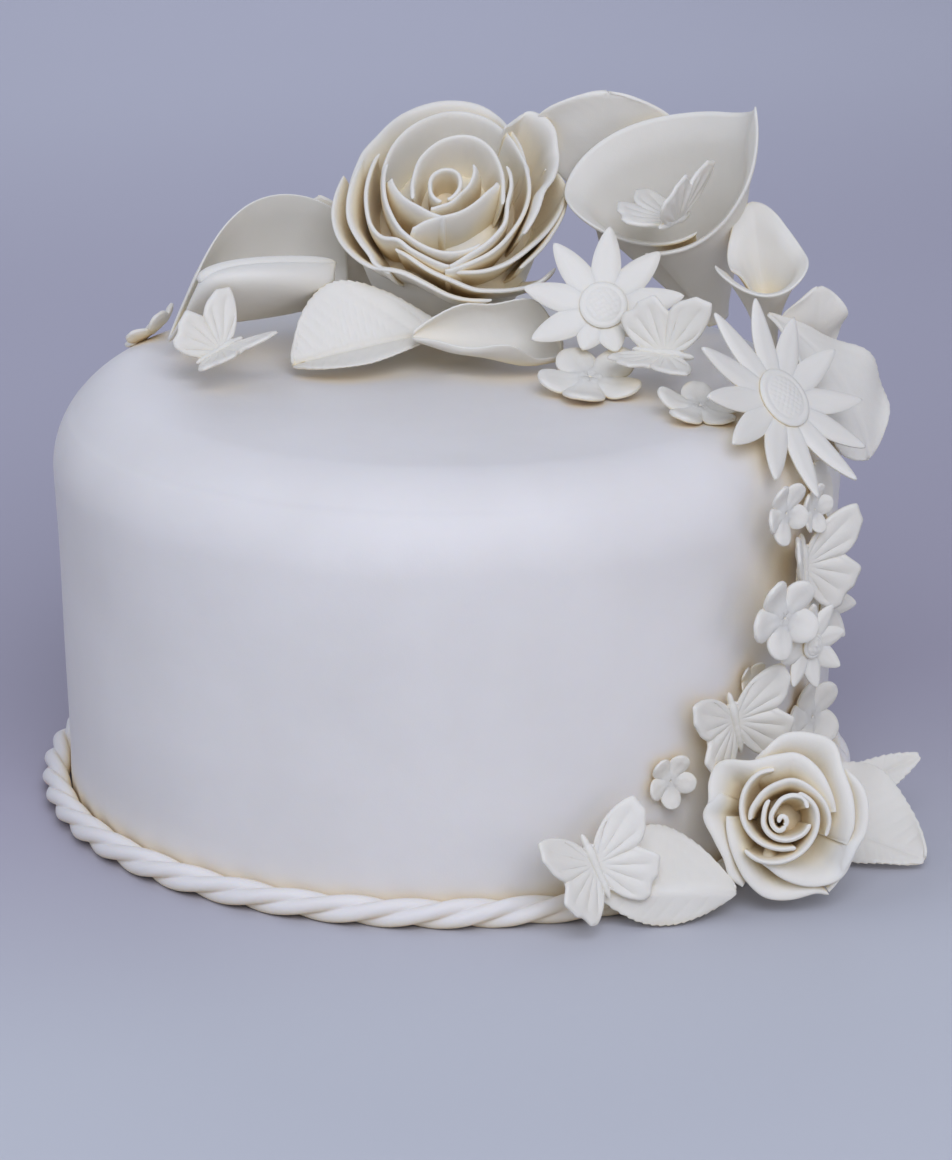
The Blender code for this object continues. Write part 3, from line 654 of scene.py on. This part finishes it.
def loose_petal(paste, bearing, start, reach, width, cup, droop, crease, thickness):
    """One petal of a cut flower: width is its half width along it, droop how far its edges hang."""
    u, v = mesh_grid(np.linspace(0, 1, CUT_PETAL_GRID[0]), spread(CUT_PETAL_GRID[1], -1, 1))
    half = width(u)
    far = start + u * (reach - start)
    up = cup(u, far) - droop * v * v * np.sin(np.pi * u) - crease * groove(v * half, 0.5) * np.sin(np.pi * u)
    middle = np.stack([far, v * half, up], axis=-1)
    turn = np.array(
        [[math.cos(bearing), -math.sin(bearing), 0], [math.sin(bearing), math.cos(bearing), 0], [0, 0, 1]]
    )
    edge = (1 - np.abs(v)) * half
    paste.slab(middle @ turn.T, edged(thickness, edge + 0.08, (1 - u) * (reach - start) + 0.1))


def daisy(name, frame, petals, reach, hub, cup=1.5, tucked=(), half=3.6):
    """A daisy: smooth lens-shaped petals under a flat, granular button with a thin rim."""
    frame = settled(name, frame, cut_points(petals, reach, DAISY_FLANK, cup, tucked))
    paste = Paste()
    for petal in range(petals):
        bearing = 2 * math.pi * (petal + 0.5) / petals + 0.035 * math.sin(5.1 * petal)
        length = TUCKED_REACH * reach if petal in tucked else reach
        lifted = 0.9 * math.sin(2.7 * petal + reach)

        def width(u):
            lens = np.sin(np.pi * np.clip(0.16 + 0.84 * u**0.95, 0, 1))
            return half * np.maximum(lens, 0.0) ** 0.72 + 0.15

        def rise(u, far):
            return cup * (far / reach) ** 2 + lifted * u * u

        loose_petal(paste, bearing, hub * 0.5, length, width, rise, 0.45, 0.12, CUTTER_THICKNESS * 0.9)
    ring, turn = round_grid(DAISY_HUB_GRID)
    far = ring * hub
    up = 1.15 + 0.35 * (1 - ring**2) + 0.16 * groove(ring - 0.88, 0.07) - 0.10 * groove(ring - 0.74, 0.07)
    grains = np.sin(3.1 * far * np.cos(turn)) * np.sin(3.3 * far * np.sin(turn) + 1)
    up = up + 0.09 * grains * (1 - smooth(ring, 0.6, 0.75))
    middle = np.stack([far * np.cos(turn), far * np.sin(turn), up], axis=-1)
    paste.disc(middle, 1.7 * np.sqrt(np.clip(1.02 - ring, 0, 1)) + 0.4)
    return paste.finish(name, "flower_paste", frame)


def blossom(name, frame, reach, cup=2.0):
    """A blossom of five puffy, spoon-shaped petals round a small dimple."""
    frame = settled(name, frame, cut_points(BLOSSOM_PETALS, reach, BLOSSOM_FLANK, cup))
    paste = Paste()
    thick = min(CUTTER_THICKNESS * 1.15, reach * 0.2)
    for petal in range(BLOSSOM_PETALS):
        bearing = 2 * math.pi * (petal + 0.5) / BLOSSOM_PETALS + 0.05 * math.sin(2.9 * petal + reach)
        own = reach * (1 + 0.03 * math.sin(2.1 * petal + reach))
        lifted = 0.07 * reach * math.sin(1.9 * petal + 0.6 * reach)

        def width(u):
            lobe = np.sqrt(np.clip(1 - ((u - 0.61) / 0.395) ** 2, 0.0, 1.0)) * 0.39
            neck = 0.28 * (1 - smooth(u, 0.3, 0.62))
            return reach * np.maximum(lobe, neck) + 0.05

        def rise(u, far):
            return cup * (far / reach) ** 2 + lifted * u * u - 0.03 * reach * np.sin(np.pi * u) ** 2

        loose_petal(paste, bearing, reach * 0.03, own, width, rise, 0.03 * reach, 0.015 * reach, thick)
    ring, turn = round_grid(BLOSSOM_DIMPLE_GRID)
    far = ring * reach * 0.3
    up = 0.025 * reach * groove(ring - 0.6, 0.3) * (1 + 0.3 * np.cos(BLOSSOM_PETALS * turn))
    up = up - 0.04 * reach * groove(ring, 0.35)
    middle = np.stack([far * np.cos(turn), far * np.sin(turn), up], axis=-1)
    paste.disc(middle, thick * np.sqrt(np.clip(1.03 - ring, 0, 1)) + 0.1)
    return paste.finish(name, "flower_paste", frame)


def butterfly(name, frame, span, lifts):
    """A butterfly with ribbed wings and its head towards local +Y."""
    rim = []
    wings = tuple(zip((1, -1), np.radians(lifts)))
    for side, lift in wings:
        for angle, radius in WING_OUTLINE:
            out = radius * span * math.sin(math.radians(angle))
            ahead = radius * span * math.cos(math.radians(angle))
            rim.append((side * out * math.cos(lift), ahead, out * math.sin(lift)))
    frame = settled(name, frame, np.array(rim))
    paste = Paste()
    angles = np.array([angle for angle, _ in WING_OUTLINE], float)
    radii = np.array([radius for _, radius in WING_OUTLINE])
    fine = np.linspace(0, 180, WING_GRID[1])
    outline = (smooth_curve(angles, radii, fine) + np.interp(fine, angles, radii)) / 2
    outline = outline * (1 - 0.035 * np.abs(np.cos(np.radians(fine * RIB_TURN))) * smooth(fine, 50, 62))
    ring, at = mesh_grid(np.linspace(0.04, 1, WING_GRID[0]), np.arange(len(fine)))
    for side, lift in wings:
        angle = np.radians(fine[at])
        far = ring * outline[at] * span
        rib = np.abs(np.sin(np.radians(fine[at] * RIB_TURN)))
        relief = 0.36 * (rib - 0.5) * smooth(ring, 0.15, 0.4) * (1 - smooth(ring, 0.80, 0.9))
        relief = relief + 0.16 * groove(ring - 0.9, 0.07)
        relief = relief - 0.5 * groove(np.degrees(angle) - 91, 4) * smooth(ring, 0.1, 0.6)
        out = far * np.sin(angle)
        ahead = far * np.cos(angle)
        bend = lift + 0.10 * (out / span)
        flat = np.stack([out * np.cos(bend), ahead, out * np.sin(bend)], axis=-1)
        flat[..., 0] -= relief * np.sin(bend)
        flat[..., 2] += relief * np.cos(bend)
        flat[..., 0] *= side
        # The left wing is the right one mirrored, so its columns run the other way.
        paste.slab(flat[:, ::side], edged(CUTTER_THICKNESS * 0.8, (1 - ring[:, ::side]) * span + 0.12))
    butterfly_body(paste, span)
    return paste.finish(name, "flower_paste", frame)


def smooth_curve(known, values, wanted):
    """A smooth curve through the values, by cubic pieces with slopes from their neighbours."""
    slopes = np.gradient(values, known)
    index = np.clip(np.searchsorted(known, wanted) - 1, 0, len(known) - 2)
    width = known[index + 1] - known[index]
    t = (wanted - known[index]) / width
    a = (1 + 2 * t) * (1 - t) ** 2
    b = t * (1 - t) ** 2 * width
    c = t * t * (3 - 2 * t)
    d = t * t * (t - 1) * width
    return a * values[index] + b * slopes[index] + c * values[index + 1] + d * slopes[index + 1]


def butterfly_body(paste, span):
    """Head, thorax and tail as one tapering ridge."""
    part, turn = round_grid(BUTTERFLY_BODY_GRID)
    ahead = span * (0.42 - 0.90 * part)
    belly = 0.055 * np.sqrt(np.clip(1 - (2 * part - 1) ** 4, 0, 1))
    radius = span * (belly + 0.018 * groove(part - 0.3, 0.14))
    radius = radius * (1 - 0.18 * groove(part - 0.16, 0.03)) * (1 - 0.06 * np.cos(60 * part) * (part > 0.45))
    paste.tube(np.stack([radius * np.cos(turn), ahead, radius * 1.1 * np.sin(turn) + 0.5], axis=-1))


# ---------------------------------------------------------------- cake and rope


# Rings of the cake's top, shoulder and side, and the radius of the flat cap in the middle of its top.
TOP_RINGS = 24
SHOULDER_RINGS = 26
SIDE_RINGS = 40
CAP_RADIUS = 3.0
CAKE_CORNERS = 300
# The dents fade out over the lowest FOOT_BAND of the side, and the sags stay within TOP_BAND of the top.
FOOT_BAND = 12.0
TOP_BAND = 8.0


def cake_profile():
    """Points (across, up) from the middle of the top to the foot."""
    top = np.linspace(CAP_RADIUS, SHOULDER_RADIUS - SHOULDER_ACROSS, TOP_RINGS)[:-1]
    profile = [(across, CAKE_HEIGHT) for across in top]
    for step in range(SHOULDER_RINGS + 1):
        angle = math.pi / 2 * (1 - step / SHOULDER_RINGS)
        across = SHOULDER_RADIUS - SHOULDER_ACROSS * (1 - math.cos(angle))
        profile.append((across, CAKE_HEIGHT - SHOULDER_DOWN * (1 - math.sin(angle))))
    foot = CAKE_HEIGHT - SHOULDER_DOWN
    for part in np.linspace(0, 1, SIDE_RINGS)[1:]:
        profile.append((SHOULDER_RADIUS + (BASE_RADIUS - SHOULDER_RADIUS) * part, foot * (1 - part)))
    return np.array(profile)


def cake_body():
    """The covered cake, with the slight dents that a hand-smoothed coat keeps."""
    profile = cake_profile()
    row, turn = mesh_grid(np.arange(len(profile)), np.linspace(0, 2 * np.pi, CAKE_CORNERS, endpoint=False))
    across = profile[row, 0]
    up = profile[row, 1]
    dent = 0.30 * np.sin(3 * turn + 0.04 * up) + 0.22 * np.sin(5 * turn - 0.07 * up + 2)
    dent = dent + 0.16 * np.sin(0.11 * up + 2 * turn) + 0.10 * np.sin(9 * turn + 0.05 * up)
    dent = (dent - 0.45) * np.clip(up / FOOT_BAND, 0, 1) * smooth(across, 40, 95)
    sag = (0.25 * np.sin(across * 0.06 + 2 * turn) - 0.3) * (up > CAKE_HEIGHT - TOP_BAND)
    radius = across + dent
    up = np.minimum(up + sag, CAKE_HEIGHT)
    rings = np.stack([radius * np.sin(turn), -radius * np.cos(turn), up], axis=-1)
    paste = Paste()
    paste.tube(rings[:, ::-1])
    return paste.finish("cake_body", "paste")


ROPE_SECTIONS = 720
ROPE_CORNERS = 45
# A strand's radius as a share of the rope's.
STRAND_SHARE = 0.535


def rope_border():
    """Three strands twisted together and laid round the foot."""
    radius = ROPE_DIAMETER / 2
    strand = radius * STRAND_SHARE
    offset = radius - strand
    ring_radius = BASE_RADIUS + GAP + radius
    section, corner = mesh_grid(np.arange(ROPE_SECTIONS), np.arange(ROPE_CORNERS))
    bearing = 2 * np.pi * section / ROPE_SECTIONS
    around = 2 * np.pi * corner / ROPE_CORNERS
    third = 2 * np.pi / ROPE_STRANDS
    away = third / 2 - np.abs((around + third / 2) % third - third / 2)
    lobe = offset * np.cos(away) + np.sqrt(np.maximum(strand**2 - (offset * np.sin(away)) ** 2, 0.0))
    uneven = 1 + 0.02 * np.sin(7 * bearing + 1) + 0.015 * np.sin(23 * bearing)
    reach = np.minimum(lobe * uneven, radius)
    angle = around + ROPE_TURNS * bearing + 0.12 * np.sin(5 * bearing)
    out = ring_radius + reach * np.cos(angle)
    up = radius + reach * np.sin(angle)
    points = np.stack([out * np.sin(bearing), -out * np.cos(bearing), up], axis=-1).reshape(-1, 3)
    paste = Paste()
    loops = quads(ROPE_SECTIONS, ROPE_CORNERS, closed=True, looped=True)
    paste.add(points, [tuple(reversed(corners)) for corners in loops])
    return paste.finish("rope_border", "paste")


# ---------------------------------------------------------------- the arrangement


def dress_side():
    """What trails down the right side."""
    leaf("leaf_side_curl", (99, -50, 101), (104, -44, 82), (75, 10), (7, 7), roll=2, along=5, across=4,
         teeth=0.3)
    blossom("blossom_side_tiny", facing(side_point(46.5, 53, 3), 40, 0, 30), 5)
    blossom("blossom_side_back", facing(side_point(64, 33.5, 2), 52, 0, 0), 11)
    butterfly("butterfly_side_low", facing(side_point(42.5, 44.5, 4), 22, 0, 13), 19, (6, 28))
    daisy("daisy_side", facing(side_point(66, 63, 3), 48, 0, 12), 8, 12, 3.5, half=2.7)
    butterfly("butterfly_side_high", facing(side_point(57.5, 78, 3), 30, 0, 6), 21, (0, 50))
    daisy("blossom_side_pointed", facing(side_point(61, 55, 3), 40, 0, 30), 8, 11.5, 3.2, half=2.7)
    for name, bearing, height, turn, reach, spin in (
        ("blossom_side_twin", 60, 91.5, 52, 6.6, 40),
        ("blossom_side_high", 52.5, 94, 46, 7.9, 10),
        ("blossom_side_large", 53, 66.5, 42, 11, 8),
        ("blossom_side_low", 32, 32.5, 28, 7, 20),
    ):
        blossom(name, facing(side_point(bearing, height, 3), turn, 0, spin), reach)


def dress_foot():
    """The rose at the foot with its leaves and butterfly."""
    rose_foot()
    leaf("leaf_foot_left", (72, -99, 7), (38.5, -106, 9), (20, 28), (19, 8.5), fold=(-26, -26), arch=3,
         blunt=1.15, along=6, across=5, seed=1)
    leaf("leaf_foot_small", (98, -46, 9), (125, -38, 20), (20, 40), (5, 5), fold=(8, 8), along=5, across=4,
         seed=2)
    leaf("leaf_foot_right", (93, -59, 12), (128, -73, 3), (20, 40), (8, 19), fold=(4, 4), wave=1.0, seed=3)
    butterfly("butterfly_foot", facing(side_point(20, 15.8, 7), 15, 20, 19), 19.5, (8, 30))


def dress_top():
    """The sprays on top, round the large rose."""
    rose_top()
    calla("calla_right", (71, 37, 117.3), (58.2, 20, 154.5), (0.93, -0.1, 0.2), (25, 14.8), (14, 15, 10, -3),
          195, -2.2, flare=1.25, point=1.05, peak=8.5)
    lily_left()
    calla("calla_small", (85, 12, 115), (82.8, 4, 139.5), (-0.15, 0.8, 0.5), (11, -10), (11, 2, -1, 2),
          188, -1.9, roll=0.8)
    leaf("leaf_back", (44, 46, 137), (45, 42, 181), (-5, 25), (19, 19), arch=-3, blunt=2.3, wave=1.2,
         teeth=0.0, veins=0.06, frill=0.5, seed=4)
    leaf("leaf_behind", (-10, 60, 116), (-36, 46, 151), (-30, 30), (9, 9), arch=2, along=5, across=4, seed=5)
    leaf("leaf_front_left", (0, 7, 122), (-40, -5, 115.5), (-6, 30), (19, 10), fold=(2, 52), blunt=1.35,
         veins=0.32, seed=6)
    leaf("leaf_front_curled", (30, 0, 117), (-9, -8, 124), (0, 45), (13, 12), roll=12, wave=2.5, teeth=0.15,
         veins=0.06, seed=7)


def dress_edge():
    """Daisies, blossoms, leaves and butterflies along the front and right edge of the top."""
    leaf("petal_shoulder", (97, 7, 112), (100.5, -1, 137), (25, 30), (8.5, 9.5), arch=2, wave=1.2, along=5,
         blunt=1.4, teeth=0.0, veins=0.04, seed=8)
    leaf("leaf_shoulder", (90, -6, 133), (116, -17, 97), (58, 25), (19, 20), arch=6, wave=1.5, blunt=1.7,
         veins=0.08, frill=0.5, seed=9)
    daisy("daisy_right", facing((83, -44, 116.5), 50, 38), 12, 27.5, 8, half=3.5)
    blossom("blossom_front", facing((37, -19, 114.5), 8, 74), 14)
    daisy("daisy_left", facing((40.5, -4, 130.7), 3, 32, -15), 9, 21, 6.2, tucked=(6, 7, 8), half=3.7)
    blossom("blossom_edge", facing((64, -42, 114), 40, 76, 20), 11)
    blossom("blossom_left", facing((-80, 37, 112), -112, 49, 20), 9)
    butterfly("butterfly_left", perched((-57, 1, 117), (0.78, 0.58, 0.25), (-0.3, -0.1, 0.95)), 17, (5, 70))
    butterfly("butterfly_right", perched((56, -18, 114), (0.9, -0.38, 0), (0, -0.1, 1)), 19, (2, 76))
    butterfly("butterfly_calla", perched((59, 4, 153), (0.5, 0.85, 0), (0.1, -0.1, 1)), 19, (72, 4))


# ---------------------------------------------------------------- materials


def noise(tree, place, scale, detail=2.0):
    """A cloud in the piece's own coordinates."""
    cloud = tree.nodes.new("ShaderNodeTexNoise")
    cloud.inputs["Scale"].default_value = scale
    cloud.inputs["Detail"].default_value = detail
    tree.links.new(place.outputs["Object"], cloud.inputs["Vector"])
    return cloud.outputs["Fac"]


def ranged(tree, value, **limits):
    """The value mapped from one range to another."""
    made = tree.nodes.new("ShaderNodeMapRange")
    for limit, number in limits.items():
        made.inputs[limit.replace("_", " ").title()].default_value = number
    tree.links.new(value, made.inputs["Value"])
    return made.outputs["Result"]


def ramp(tree, value, stops, interpolation="LINEAR"):
    """Colours by the value, from (position, colour) stops."""
    made = tree.nodes.new("ShaderNodeValToRGB")
    made.color_ramp.interpolation = interpolation
    for element, (stop, colour) in zip(made.color_ramp.elements, (stops[0], stops[-1])):
        element.position = stop
        element.color = (*colour, 1.0)
    for stop, colour in stops[1:-1]:
        made.color_ramp.elements.new(stop).color = (*colour, 1.0)
    tree.links.new(value, made.inputs["Fac"])
    return made.outputs["Color"]


def bump(tree, height, strength, distance, under=None):
    """Relief of the shading, on top of the relief `under` it."""
    made = tree.nodes.new("ShaderNodeBump")
    made.inputs["Strength"].default_value = strength
    made.inputs["Distance"].default_value = distance
    tree.links.new(height, made.inputs["Height"])
    if under is not None:
        tree.links.new(under, made.inputs["Normal"])
    return made.outputs["Normal"]


# Light that enters the paste goes furthest in red.
SUBSURFACE_RADIUS = (1.0, 0.72, 0.42)
SPECULAR_LEVEL = 0.4
# Occlusion rays per shading point, which find where the painted shade goes.
PAINTED_SHADE_SAMPLES = 8


def paste_material(name, tints, painted_shade, reach, grain, subsurface, roughness):
    """Sugar paste: a faint cloud of two tints with painted shade in its crevices, and a fine powdery grain.

    Besides the tints it takes two painted shade colours, a dark brown for the most closed-in crevices and a
    paler one for shallower ones; reach is how far away in metres a wall still darkens a crevice with painted
    shade, grain a scale and a strength, subsurface a weight and a scale.
    """
    made = bpy.data.materials.new(name + "_finish_with_painted_shade")
    made.use_nodes = True
    tree = made.node_tree
    shader = tree.nodes["Principled BSDF"]
    place = tree.nodes.new("ShaderNodeTexCoord")
    cloud = noise(tree, place, 38.0, 4.0)
    # Painted shade: the occlusion finds crevices and contacts, and there brown shade colours are mixed in
    # over the paste's own tints.
    shade_occlusion = tree.nodes.new("ShaderNodeAmbientOcclusion")
    shade_occlusion.samples = PAINTED_SHADE_SAMPLES
    shade_occlusion.inputs["Distance"].default_value = reach
    painted_shade_mix = tree.nodes.new("ShaderNodeMix")
    painted_shade_mix.data_type = "RGBA"
    tree.links.new(ramp(tree, shade_occlusion.outputs["AO"], ((0.0, painted_shade[0]), (0.2, painted_shade[1]))), painted_shade_mix.inputs["A"])
    tree.links.new(ranged(tree, shade_occlusion.outputs["AO"], from_min=0.1, from_max=0.68), painted_shade_mix.inputs["Factor"])
    tree.links.new(ramp(tree, cloud, ((0.3, tints[0]), (0.7, tints[1]))), painted_shade_mix.inputs["B"])
    tree.links.new(painted_shade_mix.outputs["Result"], shader.inputs["Base Color"])
    uneven = ranged(tree, cloud, to_min=roughness[0], to_max=roughness[1])
    tree.links.new(uneven, shader.inputs["Roughness"])
    swell = bump(tree, noise(tree, place, 160.0), 0.35, 0.0003)
    powder = bump(tree, noise(tree, place, grain[0], 3.0), grain[1], 0.0001, swell)
    tree.links.new(powder, shader.inputs["Normal"])
    shader.inputs["Subsurface Weight"].default_value = subsurface[0]
    shader.inputs["Subsurface Radius"].default_value = SUBSURFACE_RADIUS
    shader.inputs["Subsurface Scale"].default_value = subsurface[1]
    shader.inputs["Specular IOR Level"].default_value = SPECULAR_LEVEL
    return made


def slot_materials():
    """The finish of each material slot, with painted shade in its crevices."""
    return {
        "paste": paste_material(
            "paste",
            tints=((0.69, 0.653, 0.60), (0.72, 0.683, 0.63)),
            painted_shade=((0.68, 0.51, 0.28), (0.84, 0.72, 0.50)),
            reach=0.019,
            grain=(2600.0, 0.25),
            subsurface=(0.25, 0.004),
            roughness=(0.5, 0.6),
        ),
        "flower_paste": paste_material(
            "flower_paste",
            tints=((0.70, 0.66, 0.565), (0.73, 0.69, 0.595)),
            painted_shade=((0.56, 0.39, 0.18), (0.96, 0.84, 0.58)),
            reach=0.009,
            grain=(3200.0, 0.3),
            subsurface=(0.12, 0.002),
            roughness=(0.5, 0.62),
        ),
    }


# Painted light and shade on the sweep from in front of the cake to far behind it: pale in front, darkest
# just behind the cake and paler again far behind. Their positions run from SWEEP_NEAR to SWEEP_FAR metres
# along SWEEP_SLOPE.
SWEEP_PAINTED_LIGHT = (
    (0.11, (0.50, 0.503, 0.515)),
    (0.27, (0.355, 0.325, 0.378)),
    (0.58, (0.41, 0.39, 0.446)),
    (0.93, (0.485, 0.478, 0.522)),
)
SWEEP_SLOPE = (-0.3, 1.0, 0.0)
SWEEP_NEAR = -0.30
SWEEP_FAR = 1.10
SWEEP_CLOUD = 0.04


def floor_material():
    """A pale matt sweep with painted shade, darkest just behind the cake and more violet there."""
    made = bpy.data.materials.new("studio_sweep")
    made.use_nodes = True
    tree = made.node_tree
    shader = tree.nodes["Principled BSDF"]
    place = tree.nodes.new("ShaderNodeTexCoord")
    slope = tree.nodes.new("ShaderNodeVectorMath")
    slope.operation = "DOT_PRODUCT"
    slope.inputs[1].default_value = SWEEP_SLOPE
    tree.links.new(place.outputs["Object"], slope.inputs[0])
    mixed = tree.nodes.new("ShaderNodeMath")
    mixed.operation = "MULTIPLY_ADD"
    mixed.inputs[1].default_value = SWEEP_CLOUD
    tree.links.new(noise(tree, place, 3.0), mixed.inputs[0])
    # Painted light and shade: the colour goes by the place along SWEEP_SLOPE.
    shade = ranged(tree, slope.outputs["Value"], from_min=SWEEP_NEAR, from_max=SWEEP_FAR)
    tree.links.new(shade, mixed.inputs[2])
    tree.links.new(ramp(tree, mixed.outputs["Value"], SWEEP_PAINTED_LIGHT, "EASE"), shader.inputs["Base Color"])
    shader.inputs["Roughness"].default_value = 0.7
    return made


# ---------------------------------------------------------------- studio


# The sweep, in metres: its half width, its near end, where it starts to rise, the radius of its bend and how
# high its wall goes.
SWEEP_HALF_WIDTH = 2.4
SWEEP_FRONT = -1.8
SWEEP_START = 1.2
SWEEP_BEND = 0.6
SWEEP_TOP = 2.2
SWEEP_STEPS = 12

# Soft round lights: name, bearing, elevation, then distance and size in metres, watts and colour.
LIGHTS = (
    ("key", 10, 40, 1.6, 1.1, 16.2, (0.765, 0.815, 0.99)),
    ("fill", -70, 25, 1.8, 1.4, 7.2, (0.75, 0.81, 1.0)),
    ("low_fill", 48, 8, 1.7, 1.0, 2.8, (0.90, 0.83, 0.89)),
    ("back_fill", 185, 27, 1.5, 1.0, 3.4, (0.78, 0.83, 1.0)),
)
# Their bearings, elevations and distances start from LIGHT_HUB, and they look at LIGHT_AIM.
LIGHT_HUB = Vector((0, 0, 0.08))
LIGHT_AIM = Vector((0, 0, 0.06))
SKY_COLOUR = (0.60, 0.65, 0.80, 1.0)
SKY_STRENGTH = 0.63


def aimed(name, data, place, aim):
    """A light or camera at a place, looking at its aim."""
    made = bpy.data.objects.new(name, data)
    made.location = place
    made.rotation_euler = (aim - place).to_track_quat("-Z", "Y").to_euler()
    bpy.context.scene.collection.objects.link(made)
    return made


def studio():
    """A plain pale sweep, one large soft key from the front and weaker fills from the sides and the back."""
    profile = [(SWEEP_FRONT, 0.0), (SWEEP_START, 0.0)]
    for step in range(1, SWEEP_STEPS + 1):
        turn = math.pi / 2 * step / SWEEP_STEPS
        profile.append((SWEEP_START + SWEEP_BEND * math.sin(turn), SWEEP_BEND * (1 - math.cos(turn))))
    profile.append((SWEEP_START + SWEEP_BEND, SWEEP_TOP))
    points = [(x, y, z) for x in (-SWEEP_HALF_WIDTH, SWEEP_HALF_WIDTH) for y, z in profile]
    count = len(profile)
    faces = [(i, i + count, i + count + 1, i + 1) for i in range(count - 1)]
    mesh = bpy.data.meshes.new("studio_floor")
    mesh.from_pydata(points, [], faces)
    mesh.shade_smooth()
    mesh.materials.append(floor_material())
    floor = bpy.data.objects.new("studio_floor", mesh)
    bpy.context.scene.collection.objects.link(floor)
    for name, bearing, elevation, distance, size, power, colour in LIGHTS:
        light = bpy.data.lights.new(name, "AREA")
        light.shape = "DISK"
        light.size = size
        light.energy = power
        light.color = colour
        aimed(name, light, heading(bearing, elevation) * distance + LIGHT_HUB, LIGHT_AIM)
    world = bpy.data.worlds.new("studio")
    world.use_nodes = True
    sky = world.node_tree.nodes["Background"]
    sky.inputs["Color"].default_value = SKY_COLOUR
    sky.inputs["Strength"].default_value = SKY_STRENGTH
    bpy.context.scene.world = world
    bpy.context.scene.view_settings.view_transform = "Standard"


def camera():
    """The camera, at the photograph's viewing angle."""
    eye = bpy.data.cameras.new("camera")
    eye.sensor_width = SENSOR
    eye.lens = FOCAL_PIXELS / PICTURE_HEIGHT * SENSOR
    eye.clip_start = 0.05
    eye.clip_end = 20.0
    target = Vector(CAMERA_TARGET) * MM
    place = target + heading(0, CAMERA_ELEVATION) * CAMERA_DISTANCE * MM
    bpy.context.scene.camera = aimed("camera", eye, place, target)


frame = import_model()
MATERIALS = slot_materials()
camera()
studio()
cake_body()
rope_border()
dress_side()
dress_foot()
dress_top()
dress_edge()
